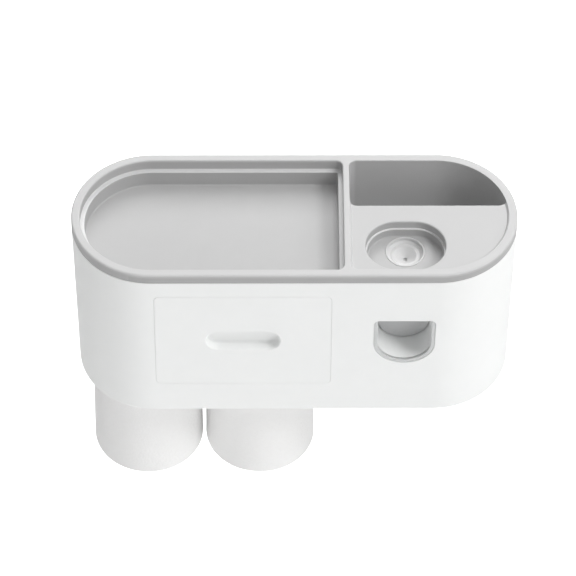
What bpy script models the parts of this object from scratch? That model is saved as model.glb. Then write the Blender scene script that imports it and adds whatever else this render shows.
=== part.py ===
# Wall-mounted tumbler holder with a lift-out tray, a drawer, a toothpaste squeezer and two hanging tumblers.
# Metres, +Z up. The wall is the plane y = 0 and the holder stands out of it towards -Y.
# The origin is the centre of the adhesive pad on the wall. x = 0 is the middle of the holder.
import bpy
import bmesh
from math import asin, atan2, cos, degrees, hypot, pi, radians, sin
from mathutils import Matrix, Vector

# Running gap between pieces that touch
GAP = 0.0003

# How far a shape reaches into the one it is joined to, and how far a cutter runs past a face
SINK = 0.0010
PAST = 0.0020

# Housing, a stadium in plan
BODY_W = 0.2912
BODY_D = 0.1055
BODY_H = 0.1321
WALL = 0.0025
DRAFT = 0.0015
BOTTOM_EDGE_R = 0.0025
CAVITY_EDGE_R = 0.0017

# Wall fixing: tape pad, plate with hooks, and the pocket for it in the housing's back
WALL_GAP = 0.0006
PAD_W = 0.1440
PAD_H = 0.0500
PAD_T = 0.0008
PAD_CORNER_R = 0.0060
PLATE_W = 0.1500
PLATE_H = 0.0560
PLATE_T = 0.0020
PLATE_CORNER_R = 0.0080
HOOK_SPACING = 0.1000
HOOK_W = 0.0200
HOOK_STEM = 0.0040
HOOK_LIP = 0.0080
HOOK_T = 0.0020
BACKING_T = 0.0020
BACKING_CLEAR = 0.0010
HOOK_EDGE = 0.0010
SLOT_CORNER_R = 0.0008
PLATE_EDGE = 0.0006
UNHOOK_LIFT = 0.0090

# Storage tray
BAND_H = 0.0075
RIM_W = 0.0056
RIM_EDGE_R = 0.0012
TRAY_WALL = 0.0020
TUB_MEET = 0.0002
DISH_RIGHT_X = 0.0320
DISH_DEPTH = 0.0205
DISH_FILLET = 0.0040
LEDGE_W = 0.0030
LEDGE_DEPTH = 0.0085
DIVIDER_W = 0.0041
DISH_CORNER_R = 0.0045
PLATFORM_DROP = 0.0020
PLATFORM_T = 0.0022
POCKET_SETBACK = 0.0623
POCKET_DEPTH = 0.0520
POCKET_CORNER_R = 0.0050
POCKET_DRAFT = 0.0007

# Tube socket in the tray, and the squeezer's axis under it
SQUEEZER_X = 0.0721
SOCKET_SETBACK = 0.0276
SOCKET_L = 0.0520
SOCKET_W = 0.0404
SOCKET_LEDGE_W = 0.0010
SOCKET_LEDGE_DEPTH = 0.0082
SOCKET_DEPTH = 0.0150
SOCKET_FILLET = 0.0012
SEAT_SETBACK = 0.0332

# Drawer
DRAWER_X = -0.0336
DRAWER_W = 0.1155
DRAWER_TOP = 0.0216
DRAWER_H = 0.0895
DRAWER_CORNER_R = 0.0038
DRAWER_GAP = 0.0004
BIN_CLEAR_TOP = 0.0054
BIN_SIDE_INSET = 0.0006
BIN_BACK = 0.0120
BIN_WALL = 0.0020
BIN_CORNER_R = 0.0030
BIN_FILLET = 0.0015
GUIDE_T = 0.0020
GUIDE_CLEAR = 0.0021
GUIDE_BELOW_BIN = 0.0030
RUNNER_W = 0.0060
RUNNER_UNDER = 0.0018
STOP_TRAVEL = 0.0700
STOP_L = 0.0060
STOP_H = 0.0200
STOP_CORNER_R = 0.0006
PULL_L = 0.0488
PULL_H = 0.0179
PULL_BELOW_TOP = 0.0452
PULL_DEPTH = 0.0065
PULL_SCOOP = 0.0038
PULL_WALL = 0.0015
PEG_R = 0.0020
PEG_INSET_X = 0.0120
PEG_INSET_Z = 0.0140

# Tumblers, magnets and steel discs
TUMBLERS_FROM_END = 0.0847
TUMBLERS_APART = 0.0019
TUMBLER_BASE_R = 0.03625
TUMBLER_MOUTH_R = 0.0373
TUMBLER_H = 0.0860
TUMBLER_WALL = 0.0018
TUMBLER_BASE_T = 0.0034
TUMBLER_EDGE_R = 0.0030
SEAT_DEPTH = 0.0008
SEAT_CLEAR = 0.0008
MAGNET_R = 0.0090
MAGNET_T = 0.0030
MAGNET_BOSS_T = 0.0022
BOSS_ROOM = 0.0015
BOSS_ROOM_H = 0.0160
MAGNET_CAP_T = 0.0012
DISC_R = 0.0100
DISC_T = 0.0012

# Squeezer: mouth, tunnel and bezel
MOUTH_W = 0.0349
MOUTH_TOP = 0.0462
MOUTH_BOTTOM = 0.0869
BEZEL_W = 0.0027
BEZEL_T = 0.0010
BEZEL_EDGE = 0.0004
SPIGOT_CLEAR = 0.0005
BEZEL_INSET = 0.0003
BEZEL_CORNER_R = 0.0035
TUNNEL_WALL = 0.0022
TUNNEL_CORNER_R = 0.0012
TUNNEL_SETBACK = 0.0038
TUNNEL_L = 0.0457
COVER_T = 0.0020
EAR_R = 0.0042
EAR_T = 0.0030
EAR_ROOT_R = 0.0008
COVER_BOSS_R = 0.0032
EAR_SIDE = 0.0280
EAR_BELOW_RIM = 0.0600
FIXING_BOSS_L = 0.0060
FIXING_BOSS_R = 0.0036
SCREW_R = 0.0012
SCREW_HEAD_R = 0.0028
SCREW_HEAD_T = 0.0020
SCREW_L = 0.0080
SCREW_RECESS = 0.0010
SCREW_POINT = 0.0018

# Squeezer: push block, cam slot and pump
PUSH_SETBACK = 0.0205
PUSH_TRAVEL = 0.0080
PUSH_CLEAR = 0.00035
PUSH_WALL = 0.0016
PUSH_FACE_T = 0.0024
PUSH_EDGE = 0.0008
PUSH_LENGTH = 0.0186
CAM_RATIO = 0.75
CHEEK_GAP = 0.0080
CHEEK_T = 0.0025
CHEEK_BOTTOM = 0.0640
PIN_R = 0.0015
PIN_BELOW_RIM = 0.0580
PUMP_SETBACK = 0.0343
PUMP_BORE_R = 0.0070
PUMP_WALL = 0.0020
PUMP_TOP = 0.0262
PISTON_TOP = 0.0390
PISTON_H = 0.0050
PISTON_CLEAR = 0.0003
STEM_R = 0.0026
SEAL_GROOVE = 0.0012
GROOVE_INSET = 0.0015
DUCT_R = 0.0018
DUCT_BELOW_RIM = 0.0310
DUCT_WALL = 0.0020
DUCT_CORNER_R = 0.0010
OUTLET_SETBACK = 0.0125
OUTLET_R = 0.0040
OUTLET_BOSS_R = 0.0060
OUTLET_REACH = 0.0030
OUTLET_PLUG_L = 0.0060
OUTLET_FLANGE = 0.0011
SPOUT_R = 0.0011
SPRING_R = 0.0048
SPRING_WIRE = 0.0008
SPRING_CURLS = 7
SPRING_CURL_POINTS = 8
SPRING_END_FLATNESS = 0.35
SPRING_BELOW_RIM = 0.0740
SPRING_BOSS_R = 0.0034
SPRING_BOSS_L = 0.0060

# Tube seat: silicone cup with a funnel, in a dish on the pump, its lip just proud of the socket's floor
COLLAR_R = 0.0129
COLLAR_PROUD = 0.0004
COLLAR_LIP_W = 0.0011
COLLAR_STEP = 0.0026
COLLAR_DISH = 0.0013
FUNNEL_R = 0.0082
FUNNEL_DEPTH = 0.0041
FEED_R = 0.0014
DISH_FLOOR = 0.0235
DISH_WALL = 0.0018
INLET_R = 0.0030
VALVE_R = 0.0046
VALVE_T = 0.0012

# Faces of round pieces
ARC_STEP = 0.0022
SMALL_ARC_STEP = 0.0008
TURN_STEPS = 24
FINE_TURN_STEPS = 32
SMALL_TURN_STEPS = 16
PIN_STEPS = 10
ARC_MOST = 12

# The plate lies just under the tray's pocket, and its centre is at z = 0
RIM_TOP_Z = POCKET_DEPTH + TRAY_WALL + BACKING_CLEAR + BACKING_T + 2 * GAP + PLATE_H / 2
BODY_TOP_Z = RIM_TOP_Z - BAND_H - GAP
BODY_BOTTOM_Z = BODY_TOP_Z - BODY_H
BODY_R = BODY_D / 2

# The squeezer and the pocket keep their places behind the front face, and the tumblers theirs from the left end
POCKET_FRONT = BODY_D - POCKET_SETBACK
SOCKET_FROM_BACK = BODY_D - SOCKET_SETBACK
SEAT_FROM_BACK = BODY_D - SEAT_SETBACK
TUNNEL_FRONT = BODY_D - TUNNEL_SETBACK
TUNNEL_BACK = TUNNEL_FRONT - TUNNEL_L
PUSH_FACE = BODY_D - PUSH_SETBACK
PUMP_FROM_BACK = BODY_D - PUMP_SETBACK
OUTLET_FROM_BACK = BODY_D - OUTLET_SETBACK
TUMBLER_X = TUMBLERS_FROM_END - BODY_W / 2
TUMBLER_PITCH = 2 * TUMBLER_MOUTH_R + TUMBLERS_APART

SIDES = ((-1, "left"), (1, "right"))

for old in list(bpy.data.objects):
    bpy.data.objects.remove(old, do_unlink=True)
parts = bpy.data.collections.new("wall_mounted_tumbler_holder")
cutters = bpy.data.collections.new("cutters")
bpy.context.scene.collection.children.link(parts)
bpy.context.scene.collection.children.link(cutters)


def from_back(distance):
    """y of a place that lies this far forward of the housing's back."""
    return -(WALL_GAP + distance)


def below_rim(distance):
    """z of a place that lies this far below the top of the rim."""
    return RIM_TOP_Z - distance


def plastic(name, colour, roughness, metallic=0.0):
    """Material of one sub-part."""
    material = bpy.data.materials.new(name)
    material.use_nodes = True
    shader = material.node_tree.nodes["Principled BSDF"]
    shader.inputs["Base Color"].default_value = (*colour, 1.0)
    shader.inputs["Roughness"].default_value = roughness
    shader.inputs["Metallic"].default_value = metallic
    return material


WHITE = plastic("white_abs", (0.86, 0.87, 0.86), 0.42)
GREY = plastic("grey_abs", (0.42, 0.42, 0.42), 0.50)
CUP_WHITE = plastic("pebbled_white", (0.84, 0.84, 0.83), 0.60)
SILICONE = plastic("grey_silicone", (0.46, 0.46, 0.46), 0.55)
CLEAR_GREY = plastic("translucent_grey", (0.60, 0.61, 0.61), 0.25)
FOAM = plastic("tape_foam", (0.75, 0.75, 0.75), 0.90)
STEEL = plastic("bright_steel", (0.62, 0.62, 0.63), 0.30, 1.0)
MAGNET = plastic("plated_magnet", (0.50, 0.51, 0.53), 0.25, 1.0)


def arc(cx, cy, radius, start, end, step=None):
    """Points of an arc, angles in degrees, with faces of about ARC_STEP."""
    length = radius * radians(abs(end - start))
    count = max(3, min(ARC_MOST, round(length / (step or ARC_STEP))))
    angles = [radians(start + (end - start) * i / count) for i in range(count + 1)]
    return [(cx + radius * cos(a), cy + radius * sin(a)) for a in angles]


def rounded_box(x0, x1, y0, y1, r00, r10=None, r11=None, r01=None):
    """Outline of a rectangle, counter-clockwise, with a radius for each corner."""
    r10 = r00 if r10 is None else r10
    r11 = r00 if r11 is None else r11
    r01 = r00 if r01 is None else r01
    points = arc(x0 + r00, y0 + r00, r00, 180, 270)
    points += arc(x1 - r10, y0 + r10, r10, 270, 360)
    points += arc(x1 - r11, y1 - r11, r11, 0, 90)
    points += arc(x0 + r01, y1 - r01, r01, 90, 180)
    return points


def u_shape(half_width, top, bottom, corner):
    """Outline in x and z of a shape with a flat top and a round bottom, on the squeezer's axis."""
    left = SQUEEZER_X - half_width
    right = SQUEEZER_X + half_width
    return rounded_box(left, right, bottom, top, half_width, half_width, corner, corner)


def stadium(inset):
    """Outline of the holder seen from above, drawn in by an inset."""
    middle = from_back(BODY_R)
    half_w = BODY_W / 2 - inset
    half_d = BODY_R - inset
    return rounded_box(-half_w, half_w, middle - half_d, middle + half_d, half_d)


def new_object(name, mesh, material):
    """Object in the parts collection, or in the cutters one if it has no material."""
    obj = bpy.data.objects.new(name, mesh)
    if material is None:
        cutters.objects.link(obj)
        obj.hide_render = True
        obj.display_type = "WIRE"
    else:
        parts.objects.link(obj)
        mesh.materials.clear()
        mesh.materials.append(material)
    return obj


def prism(name, outline, low, high, axis="Z", material=None):
    """Flat outline made solid from low to high along an axis.

    The outline is in x and y for Z, in x and z for Y, and in y and z for X.
    """
    curve = bpy.data.curves.new(name + "_outline", "CURVE")
    curve.dimensions = "2D"
    curve.fill_mode = "BOTH"
    curve.extrude = abs(high - low) / 2
    kept = [
        p for i, p in enumerate(outline)
        if hypot(p[0] - outline[i - 1][0], p[1] - outline[i - 1][1]) > 1e-6
    ]
    spline = curve.splines.new("POLY")
    spline.points.add(len(kept) - 1)
    for point, (u, v) in zip(spline.points, kept):
        point.co = (u, v, 0, 1)
    spline.use_cyclic_u = True
    holder = bpy.data.objects.new(name + "_outline", curve)
    cutters.objects.link(holder)
    bpy.context.view_layer.update()
    evaluated = holder.evaluated_get(bpy.context.evaluated_depsgraph_get())
    mesh = bpy.data.meshes.new_from_object(evaluated)
    mesh.name = name
    bpy.data.objects.remove(holder)
    middle = (low + high) / 2
    turns = {
        "Z": Matrix.Translation((0, 0, middle)),
        "Y": Matrix.Translation((0, middle, 0)) @ Matrix.Rotation(pi / 2, 4, "X"),
        "X": Matrix(((0, 0, 1, middle), (1, 0, 0, 0), (0, 1, 0, 0), (0, 0, 0, 1))),
    }
    shape = bmesh.new()
    shape.from_mesh(mesh)
    bmesh.ops.remove_doubles(shape, verts=shape.verts, dist=1e-6)
    bmesh.ops.dissolve_limit(shape, angle_limit=radians(0.5), verts=shape.verts, edges=shape.edges)
    bmesh.ops.recalc_face_normals(shape, faces=shape.faces)
    shape.transform(turns[axis])
    shape.to_mesh(mesh)
    shape.free()
    return new_object(name, mesh, material)


def rod(name, radius, start, end, material=None, steps=TURN_STEPS):
    """Round bar between two places."""
    start = Vector(start)
    end = Vector(end)
    shape = bmesh.new()
    bmesh.ops.create_cone(
        shape, cap_ends=True, segments=steps, radius1=radius, radius2=radius, depth=(end - start).length,
    )
    turn = (end - start).to_track_quat("Z", "Y").to_matrix().to_4x4()
    shape.transform(Matrix.Translation((start + end) / 2) @ turn)
    mesh = bpy.data.meshes.new(name)
    shape.to_mesh(mesh)
    shape.free()
    return new_object(name, mesh, material)


def turned(name, profile, x, y, material=None, steps=TURN_STEPS):
    """Turned piece on an upright axis; the profile runs down its outer side, as radius and z."""
    mesh = bpy.data.meshes.new(name)
    points = [(radius, 0, z) for radius, z in profile]
    edges = [(i, i + 1) for i in range(len(points) - 1)]
    if profile[0][0] > 0 and profile[-1][0] > 0:
        edges.append((len(points) - 1, 0))
    mesh.from_pydata(points, edges, [])
    obj = new_object(name, mesh, material)
    obj.location = (x, y, 0)
    screw = obj.modifiers.new("turn", "SCREW")
    screw.axis = "Z"
    screw.steps = steps
    screw.render_steps = steps
    screw.use_merge_vertices = True
    screw.merge_threshold = 1e-5
    weld = obj.modifiers.new("poles", "WELD")
    weld.merge_threshold = 1e-5
    return obj


def fillet(obj, radius, steps, chosen):
    """Rounds the chosen edges of a shape."""
    shape = bmesh.new()
    shape.from_mesh(obj.data)
    edges = [e for e in shape.edges if chosen(e)]
    bmesh.ops.bevel(
        shape, geom=edges, offset=radius, offset_type="OFFSET", segments=steps, profile=0.5,
        affect="EDGES", clamp_overlap=True,
    )
    shape.to_mesh(obj.data)
    shape.free()
    return obj


def level(value, axis=2):
    """Test for edges that lie in a plane across an axis."""
    return lambda edge: all(abs(v.co[axis] - value) < 1e-5 for v in edge.verts)


def draw_in(obj, z_top, z_bottom, amount):
    """Draft: moves a wall in towards the stadium's spine, by more the lower it is."""
    spine = BODY_W / 2 - BODY_R
    middle = from_back(BODY_R)
    for vertex in obj.data.vertices:
        share = (z_top - vertex.co.z) / (z_top - z_bottom)
        near = Vector((max(-spine, min(spine, vertex.co.x)), middle, vertex.co.z))
        away = vertex.co - near
        if share > 0 and away.length > 0:
            vertex.co -= away.normalized() * amount * share
    return obj


def lean(obj):
    """Tilts a piece of the front face back, as the housing's draft does."""
    for vertex in obj.data.vertices:
        vertex.co.y += DRAFT * (BODY_TOP_Z - vertex.co.z) / BODY_H
    return obj


def combine(obj, operation, *others):
    """Adds, cuts or intersects with other shapes, in order."""
    for other in others:
        modifier = obj.modifiers.new(other.name, "BOOLEAN")
        modifier.operation = operation
        modifier.solver = "EXACT"
        modifier.object = other
    return obj


def add(obj, *others):
    return combine(obj, "UNION", *others)


def cut(obj, *others):
    return combine(obj, "DIFFERENCE", *others)


# Wall fixing: a foam tape pad and a plate with two hooks that point up
def make_wall_fixing():
    pad = rounded_box(-PAD_W / 2, PAD_W / 2, -PAD_H / 2, PAD_H / 2, PAD_CORNER_R)
    prism("adhesive_pad", pad, -PAD_T, 0, "Y", FOAM)
    plate_outline = rounded_box(-PLATE_W / 2, PLATE_W / 2, -PLATE_H / 2, PLATE_H / 2, PLATE_CORNER_R)
    plate_back = -PAD_T - GAP
    plate_front = plate_back - PLATE_T
    plate = prism("wall_bracket", plate_outline, plate_front, plate_back, "Y", WHITE)
    fillet(plate, PLATE_EDGE, 1, level(plate_front, 1))
    inner = plate_front - BACKING_T - 2 * GAP
    outer = inner - HOOK_T
    root = plate_front + SINK / 2
    hook_top = HOOK_STEM + HOOK_LIP
    hook_outline = [
        (root, 0), (outer + HOOK_EDGE, 0), (outer, HOOK_EDGE), (outer, hook_top - HOOK_EDGE),
        (outer + HOOK_EDGE, hook_top), (inner, hook_top - HOOK_EDGE / 2), (inner, HOOK_STEM), (root, HOOK_STEM),
    ]
    for middle, name in hook_places():
        add(plate, prism(f"hook_{name}", hook_outline, middle - HOOK_W / 2, middle + HOOK_W / 2, "X"))
    return plate_front


def hook_places():
    """x and name of each hook."""
    return ((-HOOK_SPACING / 2, "left"), (HOOK_SPACING / 2, "right"))


PLATE_FRONT = make_wall_fixing()


# Housing: drafted shell with a pocket for the plate, guides for the drawer, and bosses
def make_housing():
    body = prism("housing", stadium(0), BODY_BOTTOM_Z, BODY_TOP_Z, "Z", WHITE)
    draw_in(body, BODY_TOP_Z, BODY_BOTTOM_Z, DRAFT)
    fillet(body, BOTTOM_EDGE_R, 3, level(BODY_BOTTOM_Z))
    floor_z = BODY_BOTTOM_Z + WALL
    cavity = prism("housing_cavity", stadium(WALL), floor_z, BODY_TOP_Z + PAST)
    draw_in(cavity, BODY_TOP_Z, BODY_BOTTOM_Z, DRAFT)
    fillet(cavity, CAVITY_EDGE_R, 2, level(floor_z))
    cut(body, cavity)

    # Pocket for the wall plate, with room below it to lift the holder off its hooks
    pocket_half = PLATE_W / 2 + 2 * GAP
    pocket_top = PLATE_H / 2 + 2 * GAP
    pocket_low = -PLATE_H / 2 - UNHOOK_LIFT - 2 * GAP
    pocket_y = PLATE_FRONT - GAP
    backing = prism(
        "pocket_backing",
        rounded_box(
            -pocket_half - BACKING_T, pocket_half + BACKING_T, pocket_low - BACKING_T, pocket_top + BACKING_T,
            PLATE_CORNER_R,
        ),
        pocket_y - BACKING_T, from_back(2 * SINK), "Y",
    )
    pocket = prism(
        "wall_pocket", rounded_box(-pocket_half, pocket_half, pocket_low, pocket_top, PLATE_CORNER_R),
        pocket_y, from_back(-PAST), "Y",
    )
    slot_top = HOOK_STEM + GAP
    slot_low = -UNHOOK_LIFT - 2 * GAP
    slot_half = HOOK_W / 2 + 3 * GAP
    slots = [
        prism(
            f"hook_slot_{name}",
            rounded_box(middle - slot_half, middle + slot_half, slot_low, slot_top, SLOT_CORNER_R),
            pocket_y - BACKING_T - PAST, pocket_y + PAST, "Y",
        )
        for middle, name in hook_places()
    ]
    add(body, backing)

    # Drawer guides: each a thin upright with a runner at its foot, from the back wall to the front one
    guide_face = DRAWER_W / 2 + GUIDE_CLEAR
    guide_back = guide_face + GUIDE_T
    runner_top = below_rim(DRAWER_TOP + DRAWER_H - RUNNER_UNDER)
    guide_top = below_rim(DRAWER_TOP + BIN_CLEAR_TOP + GUIDE_BELOW_BIN)
    for side, name in SIDES:
        face_x = DRAWER_X + side * guide_face
        back_x = DRAWER_X + side * guide_back
        runner_x = DRAWER_X + side * (guide_face - RUNNER_W)
        outline = [
            (back_x, floor_z - SINK), (runner_x, floor_z - SINK), (runner_x, runner_top), (face_x, runner_top),
            (face_x, guide_top), (back_x, guide_top),
        ]
        reach = WALL - GAP
        add(body, prism(f"drawer_guide_{name}", outline, from_back(BODY_D - reach), from_back(reach), "Y"))
    cut(body, pocket, *slots)

    # Magnet bosses on the floor, with a shallow seat for each tumbler under them
    boss_r = MAGNET_R + GAP + MAGNET_BOSS_T
    boss_top = floor_z + MAGNET_T + GAP
    for x, name in tumbler_places():
        y = from_back(BODY_R)
        room = rod(f"boss_room_{name}", boss_r + BOSS_ROOM, (x, y, floor_z), (x, y, floor_z + BOSS_ROOM_H))
        boss = rod(f"boss_{name}", boss_r, (x, y, floor_z - SINK), (x, y, boss_top))
        hole = rod(f"magnet_hole_{name}", MAGNET_R + GAP, (x, y, floor_z), (x, y, boss_top + PAST))
        seat_r = TUMBLER_BASE_R + SEAT_CLEAR
        seat = rod(
            f"tumbler_seat_{name}", seat_r, (x, y, BODY_BOTTOM_Z - PAST), (x, y, BODY_BOTTOM_Z + SEAT_DEPTH),
            steps=FINE_TURN_STEPS,
        )
        cut(body, room)
        add(body, boss)
        cut(body, hole, seat)

    # Openings in the front
    front = from_back(BODY_D + PAST)
    inside = from_back(BODY_D - WALL - DRAFT - SINK)
    opening = prism("drawer_opening", drawer_outline(DRAWER_GAP), front, inside, "Y")
    mouth = prism("squeezer_opening", bezel_outline(GAP), front, inside, "Y")
    cut(body, opening, mouth)

    # Bosses for the squeezer's screws, on the inside of the front wall
    boss_front = from_back(BODY_D - WALL + GAP)
    boss_back = BODY_D - WALL - FIXING_BOSS_L
    z = below_rim(EAR_BELOW_RIM)
    for side, name in SIDES:
        x = SQUEEZER_X + side * EAR_SIDE
        boss = rod(
            f"fixing_boss_{name}", FIXING_BOSS_R, (x, from_back(boss_back), z), (x, boss_front, z),
            steps=SMALL_TURN_STEPS,
        )
        pilot = rod(
            f"fixing_pilot_{name}", SCREW_R + GAP, (x, from_back(boss_back - PAST), z),
            (x, from_back(boss_back + SCREW_L - EAR_T), z), steps=PIN_STEPS,
        )
        add(body, boss)
        cut(body, pilot)


def tumbler_places():
    """x and name of each tumbler, left to right."""
    return ((TUMBLER_X - TUMBLER_PITCH / 2, "left"), (TUMBLER_X + TUMBLER_PITCH / 2, "right"))


def drawer_outline(grow):
    """Outline in x and z of the drawer's front panel."""
    return rounded_box(
        DRAWER_X - DRAWER_W / 2 - grow, DRAWER_X + DRAWER_W / 2 + grow,
        below_rim(DRAWER_TOP + DRAWER_H) - grow, below_rim(DRAWER_TOP) + grow, DRAWER_CORNER_R + grow,
    )


def bezel_outline(grow):
    """Outer outline in x and z of the ring round the squeezer's mouth."""
    return u_shape(
        MOUTH_W / 2 + BEZEL_W + grow, below_rim(MOUTH_TOP) + grow, below_rim(MOUTH_BOTTOM + BEZEL_W) - grow,
        BEZEL_CORNER_R + grow,
    )


make_housing()


# Storage tray: rim slab, three tubs under it, and the hollows cut from the top
def dish_outline(inset, right_x=DISH_RIGHT_X):
    """Wide dish at the left: the rim's inner edge, ended by the divider."""
    half = BODY_R - RIM_W - inset
    middle = from_back(BODY_R)
    corner = min(DISH_CORNER_R, DISH_CORNER_R - inset)
    return rounded_box(
        -BODY_W / 2 + RIM_W + inset, right_x - inset, middle - half, middle + half, half, corner, corner, half,
    )


def pocket_outline(grow=0.0):
    """Pocket behind the tube socket, from the divider to the rim's right end."""
    radius = BODY_R - RIM_W + grow
    middle = from_back(BODY_R)
    left = DISH_RIGHT_X + DIVIDER_W - grow + POCKET_CORNER_R
    front_y = from_back(POCKET_FRONT) - grow + POCKET_CORNER_R
    drop = front_y - middle
    points = arc(BODY_W / 2 - BODY_R, middle, radius, degrees(asin(drop / radius)), 90)
    last_x = points[0][0]
    points += arc(left, middle + radius - POCKET_CORNER_R, POCKET_CORNER_R, 90, 180)
    points += arc(left, front_y, POCKET_CORNER_R, 180, 270)
    points += arc(last_x - POCKET_CORNER_R, front_y, POCKET_CORNER_R, 270, 350)
    return points


def socket_outline(inset):
    """Oval hollow round the tube seat."""
    y = from_back(SOCKET_FROM_BACK)
    half_l = SOCKET_L / 2 - inset
    half_w = SOCKET_W / 2 - inset
    return rounded_box(SQUEEZER_X - half_l, SQUEEZER_X + half_l, y - half_w, y + half_w, half_w)


def make_tray():
    above = RIM_TOP_Z + PAST
    tray = prism("storage_tray", stadium(0), RIM_TOP_Z - BAND_H, RIM_TOP_Z, "Z", GREY)
    fillet(tray, RIM_EDGE_R, 2, level(RIM_TOP_Z))
    platform_left = DISH_RIGHT_X + DIVIDER_W
    platform_low = below_rim(PLATFORM_DROP + PLATFORM_T)
    half = BODY_R - RIM_W
    middle = from_back(BODY_R)
    platform = rounded_box(
        platform_left, BODY_W / 2 - RIM_W, middle - half, middle + half,
        POCKET_CORNER_R, half, half, POCKET_CORNER_R,
    )
    under = prism("platform_underside", platform, below_rim(BAND_H + PAST), platform_low)
    cut(tray, under)

    # The tubs of the dish and the pocket meet under the divider
    in_rim = below_rim(BAND_H - SINK)
    in_platform = below_rim(PLATFORM_DROP + SINK)
    dish_low_z = below_rim(DISH_DEPTH + TRAY_WALL)
    dish_wall_x = DISH_RIGHT_X + DIVIDER_W - 2 * TRAY_WALL + TUB_MEET
    dish_tub = prism("dish_tub", dish_outline(-TRAY_WALL, dish_wall_x), dish_low_z, in_rim)
    fillet(dish_tub, DISH_FILLET, 2, level(dish_low_z))
    pocket_tub = prism(
        "pocket_tub", pocket_outline(TRAY_WALL), below_rim(POCKET_DEPTH + TRAY_WALL), in_platform,
    )
    draw_in(pocket_tub, below_rim(BAND_H), below_rim(POCKET_DEPTH), POCKET_DRAFT)
    socket_tub = prism(
        "socket_tub", socket_outline(-TRAY_WALL), below_rim(SOCKET_DEPTH + TRAY_WALL), in_platform,
    )
    add(tray, dish_tub, pocket_tub, socket_tub)

    dish_top = prism("dish_top", dish_outline(0), below_rim(LEDGE_DEPTH), above)
    dish_low = prism("dish_low", dish_outline(LEDGE_W), below_rim(DISH_DEPTH), below_rim(LEDGE_DEPTH - SINK))
    fillet(dish_low, DISH_FILLET, 3, level(below_rim(DISH_DEPTH)))
    platform_top = prism("platform_top", platform, below_rim(PLATFORM_DROP), above)
    pocket = prism("pocket", pocket_outline(), below_rim(POCKET_DEPTH), above)
    draw_in(pocket, below_rim(BAND_H), below_rim(POCKET_DEPTH), POCKET_DRAFT)
    ledge_z = below_rim(SOCKET_LEDGE_DEPTH)
    socket_top = prism("socket_top", socket_outline(0), ledge_z, below_rim(PLATFORM_DROP - SINK))
    socket_low = prism("socket_low", socket_outline(SOCKET_LEDGE_W), below_rim(SOCKET_DEPTH), ledge_z + SINK)
    fillet(socket_low, SOCKET_FILLET, 2, level(below_rim(SOCKET_DEPTH)))
    y = from_back(SEAT_FROM_BACK)
    seat_hole = rod(
        "seat_hole", COLLAR_R + GAP, (SQUEEZER_X, y, below_rim(SOCKET_DEPTH + TRAY_WALL + SINK)),
        (SQUEEZER_X, y, below_rim(SOCKET_DEPTH - SOCKET_FILLET)),
    )
    cut(tray, dish_top, dish_low, platform_top, pocket, socket_top, socket_low, seat_hole)
    return tray


TRAY = make_tray()


# Drawer: a bin on the runners, and a flush front with a scooped finger pull
def make_drawer():
    bin_half = DRAWER_W / 2 - BIN_SIDE_INSET
    bin_front = BODY_D - WALL - DRAFT - 2 * GAP
    bin_low = below_rim(DRAWER_TOP + DRAWER_H - RUNNER_UNDER) + GAP
    bin_top = below_rim(DRAWER_TOP + BIN_CLEAR_TOP)

    def bin_outline(inset):
        half_w = bin_half - inset
        return rounded_box(
            DRAWER_X - half_w, DRAWER_X + half_w, from_back(bin_front - inset), from_back(BIN_BACK + inset),
            BIN_CORNER_R - inset / 2,
        )

    box = prism("drawer_box", bin_outline(0), bin_low, bin_top, "Z", WHITE)
    hollow = prism("drawer_hollow", bin_outline(BIN_WALL), bin_low + BIN_WALL, bin_top + PAST)
    fillet(hollow, BIN_FILLET, 1, level(bin_low + BIN_WALL))
    stop_front = BODY_D - WALL - DRAFT - STOP_TRAVEL
    stop_out = DRAWER_W / 2 + GUIDE_CLEAR - GAP
    for side, name in SIDES:
        x0, x1 = sorted((DRAWER_X + side * (bin_half - SINK), DRAWER_X + side * stop_out))
        stop = rounded_box(x0, x1, from_back(stop_front), from_back(stop_front - STOP_L), STOP_CORNER_R)
        add(box, prism(f"drawer_stop_{name}", stop, bin_low, bin_low + STOP_H))
    cut(box, hollow)

    pull_z = below_rim(DRAWER_TOP + PULL_BELOW_TOP)

    def pull_outline(grow):
        half_l = PULL_L / 2 + grow
        half_h = PULL_H / 2 + grow
        return rounded_box(DRAWER_X - half_l, DRAWER_X + half_l, pull_z - half_h, pull_z + half_h, half_h)

    bin_outside = from_back(bin_front + SINK)
    bin_inside = from_back(bin_front - BIN_WALL - SINK)
    cut(box, prism("pull_hole", pull_outline(PULL_WALL + 2 * GAP), bin_outside, bin_inside, "Y"))

    panel_front = from_back(BODY_D)
    panel_back = from_back(BODY_D - WALL)
    shell_back = from_back(BODY_D - PULL_DEPTH - PULL_WALL)
    scoop_back = from_back(BODY_D - PULL_DEPTH)
    panel = prism("drawer_front", drawer_outline(0), panel_front, panel_back, "Y", WHITE)
    fillet(panel, GAP, 1, level(panel_front, 1))
    shell = prism("pull_shell", pull_outline(PULL_WALL), panel_front + SINK, shell_back, "Y")
    fillet(shell, PULL_SCOOP, 2, level(shell_back, 1))
    scoop = prism("pull_scoop", pull_outline(0), panel_front - PAST, scoop_back, "Y")
    fillet(scoop, PULL_SCOOP, 3, level(scoop_back, 1))
    lean(panel)
    lean(shell)
    lean(scoop)
    add(panel, shell)
    cut(panel, scoop)
    for side, name in SIDES:
        x = DRAWER_X + side * (bin_half - PEG_INSET_X)
        for z, row in ((bin_low + PEG_INSET_Z, "low"), (bin_top - PEG_INSET_Z, "high")):
            tip = from_back(bin_front - BIN_WALL)
            peg = rod(f"peg_{name}_{row}", PEG_R, (x, panel_back - GAP, z), (x, tip, z), steps=PIN_STEPS)
            hole = rod(
                f"peg_hole_{name}_{row}", PEG_R + GAP, (x, bin_outside, z), (x, bin_inside, z), steps=PIN_STEPS,
            )
            add(panel, peg)
            cut(box, hole)
    return box, panel


DRAWER_BOX, DRAWER_FRONT = make_drawer()


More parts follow.
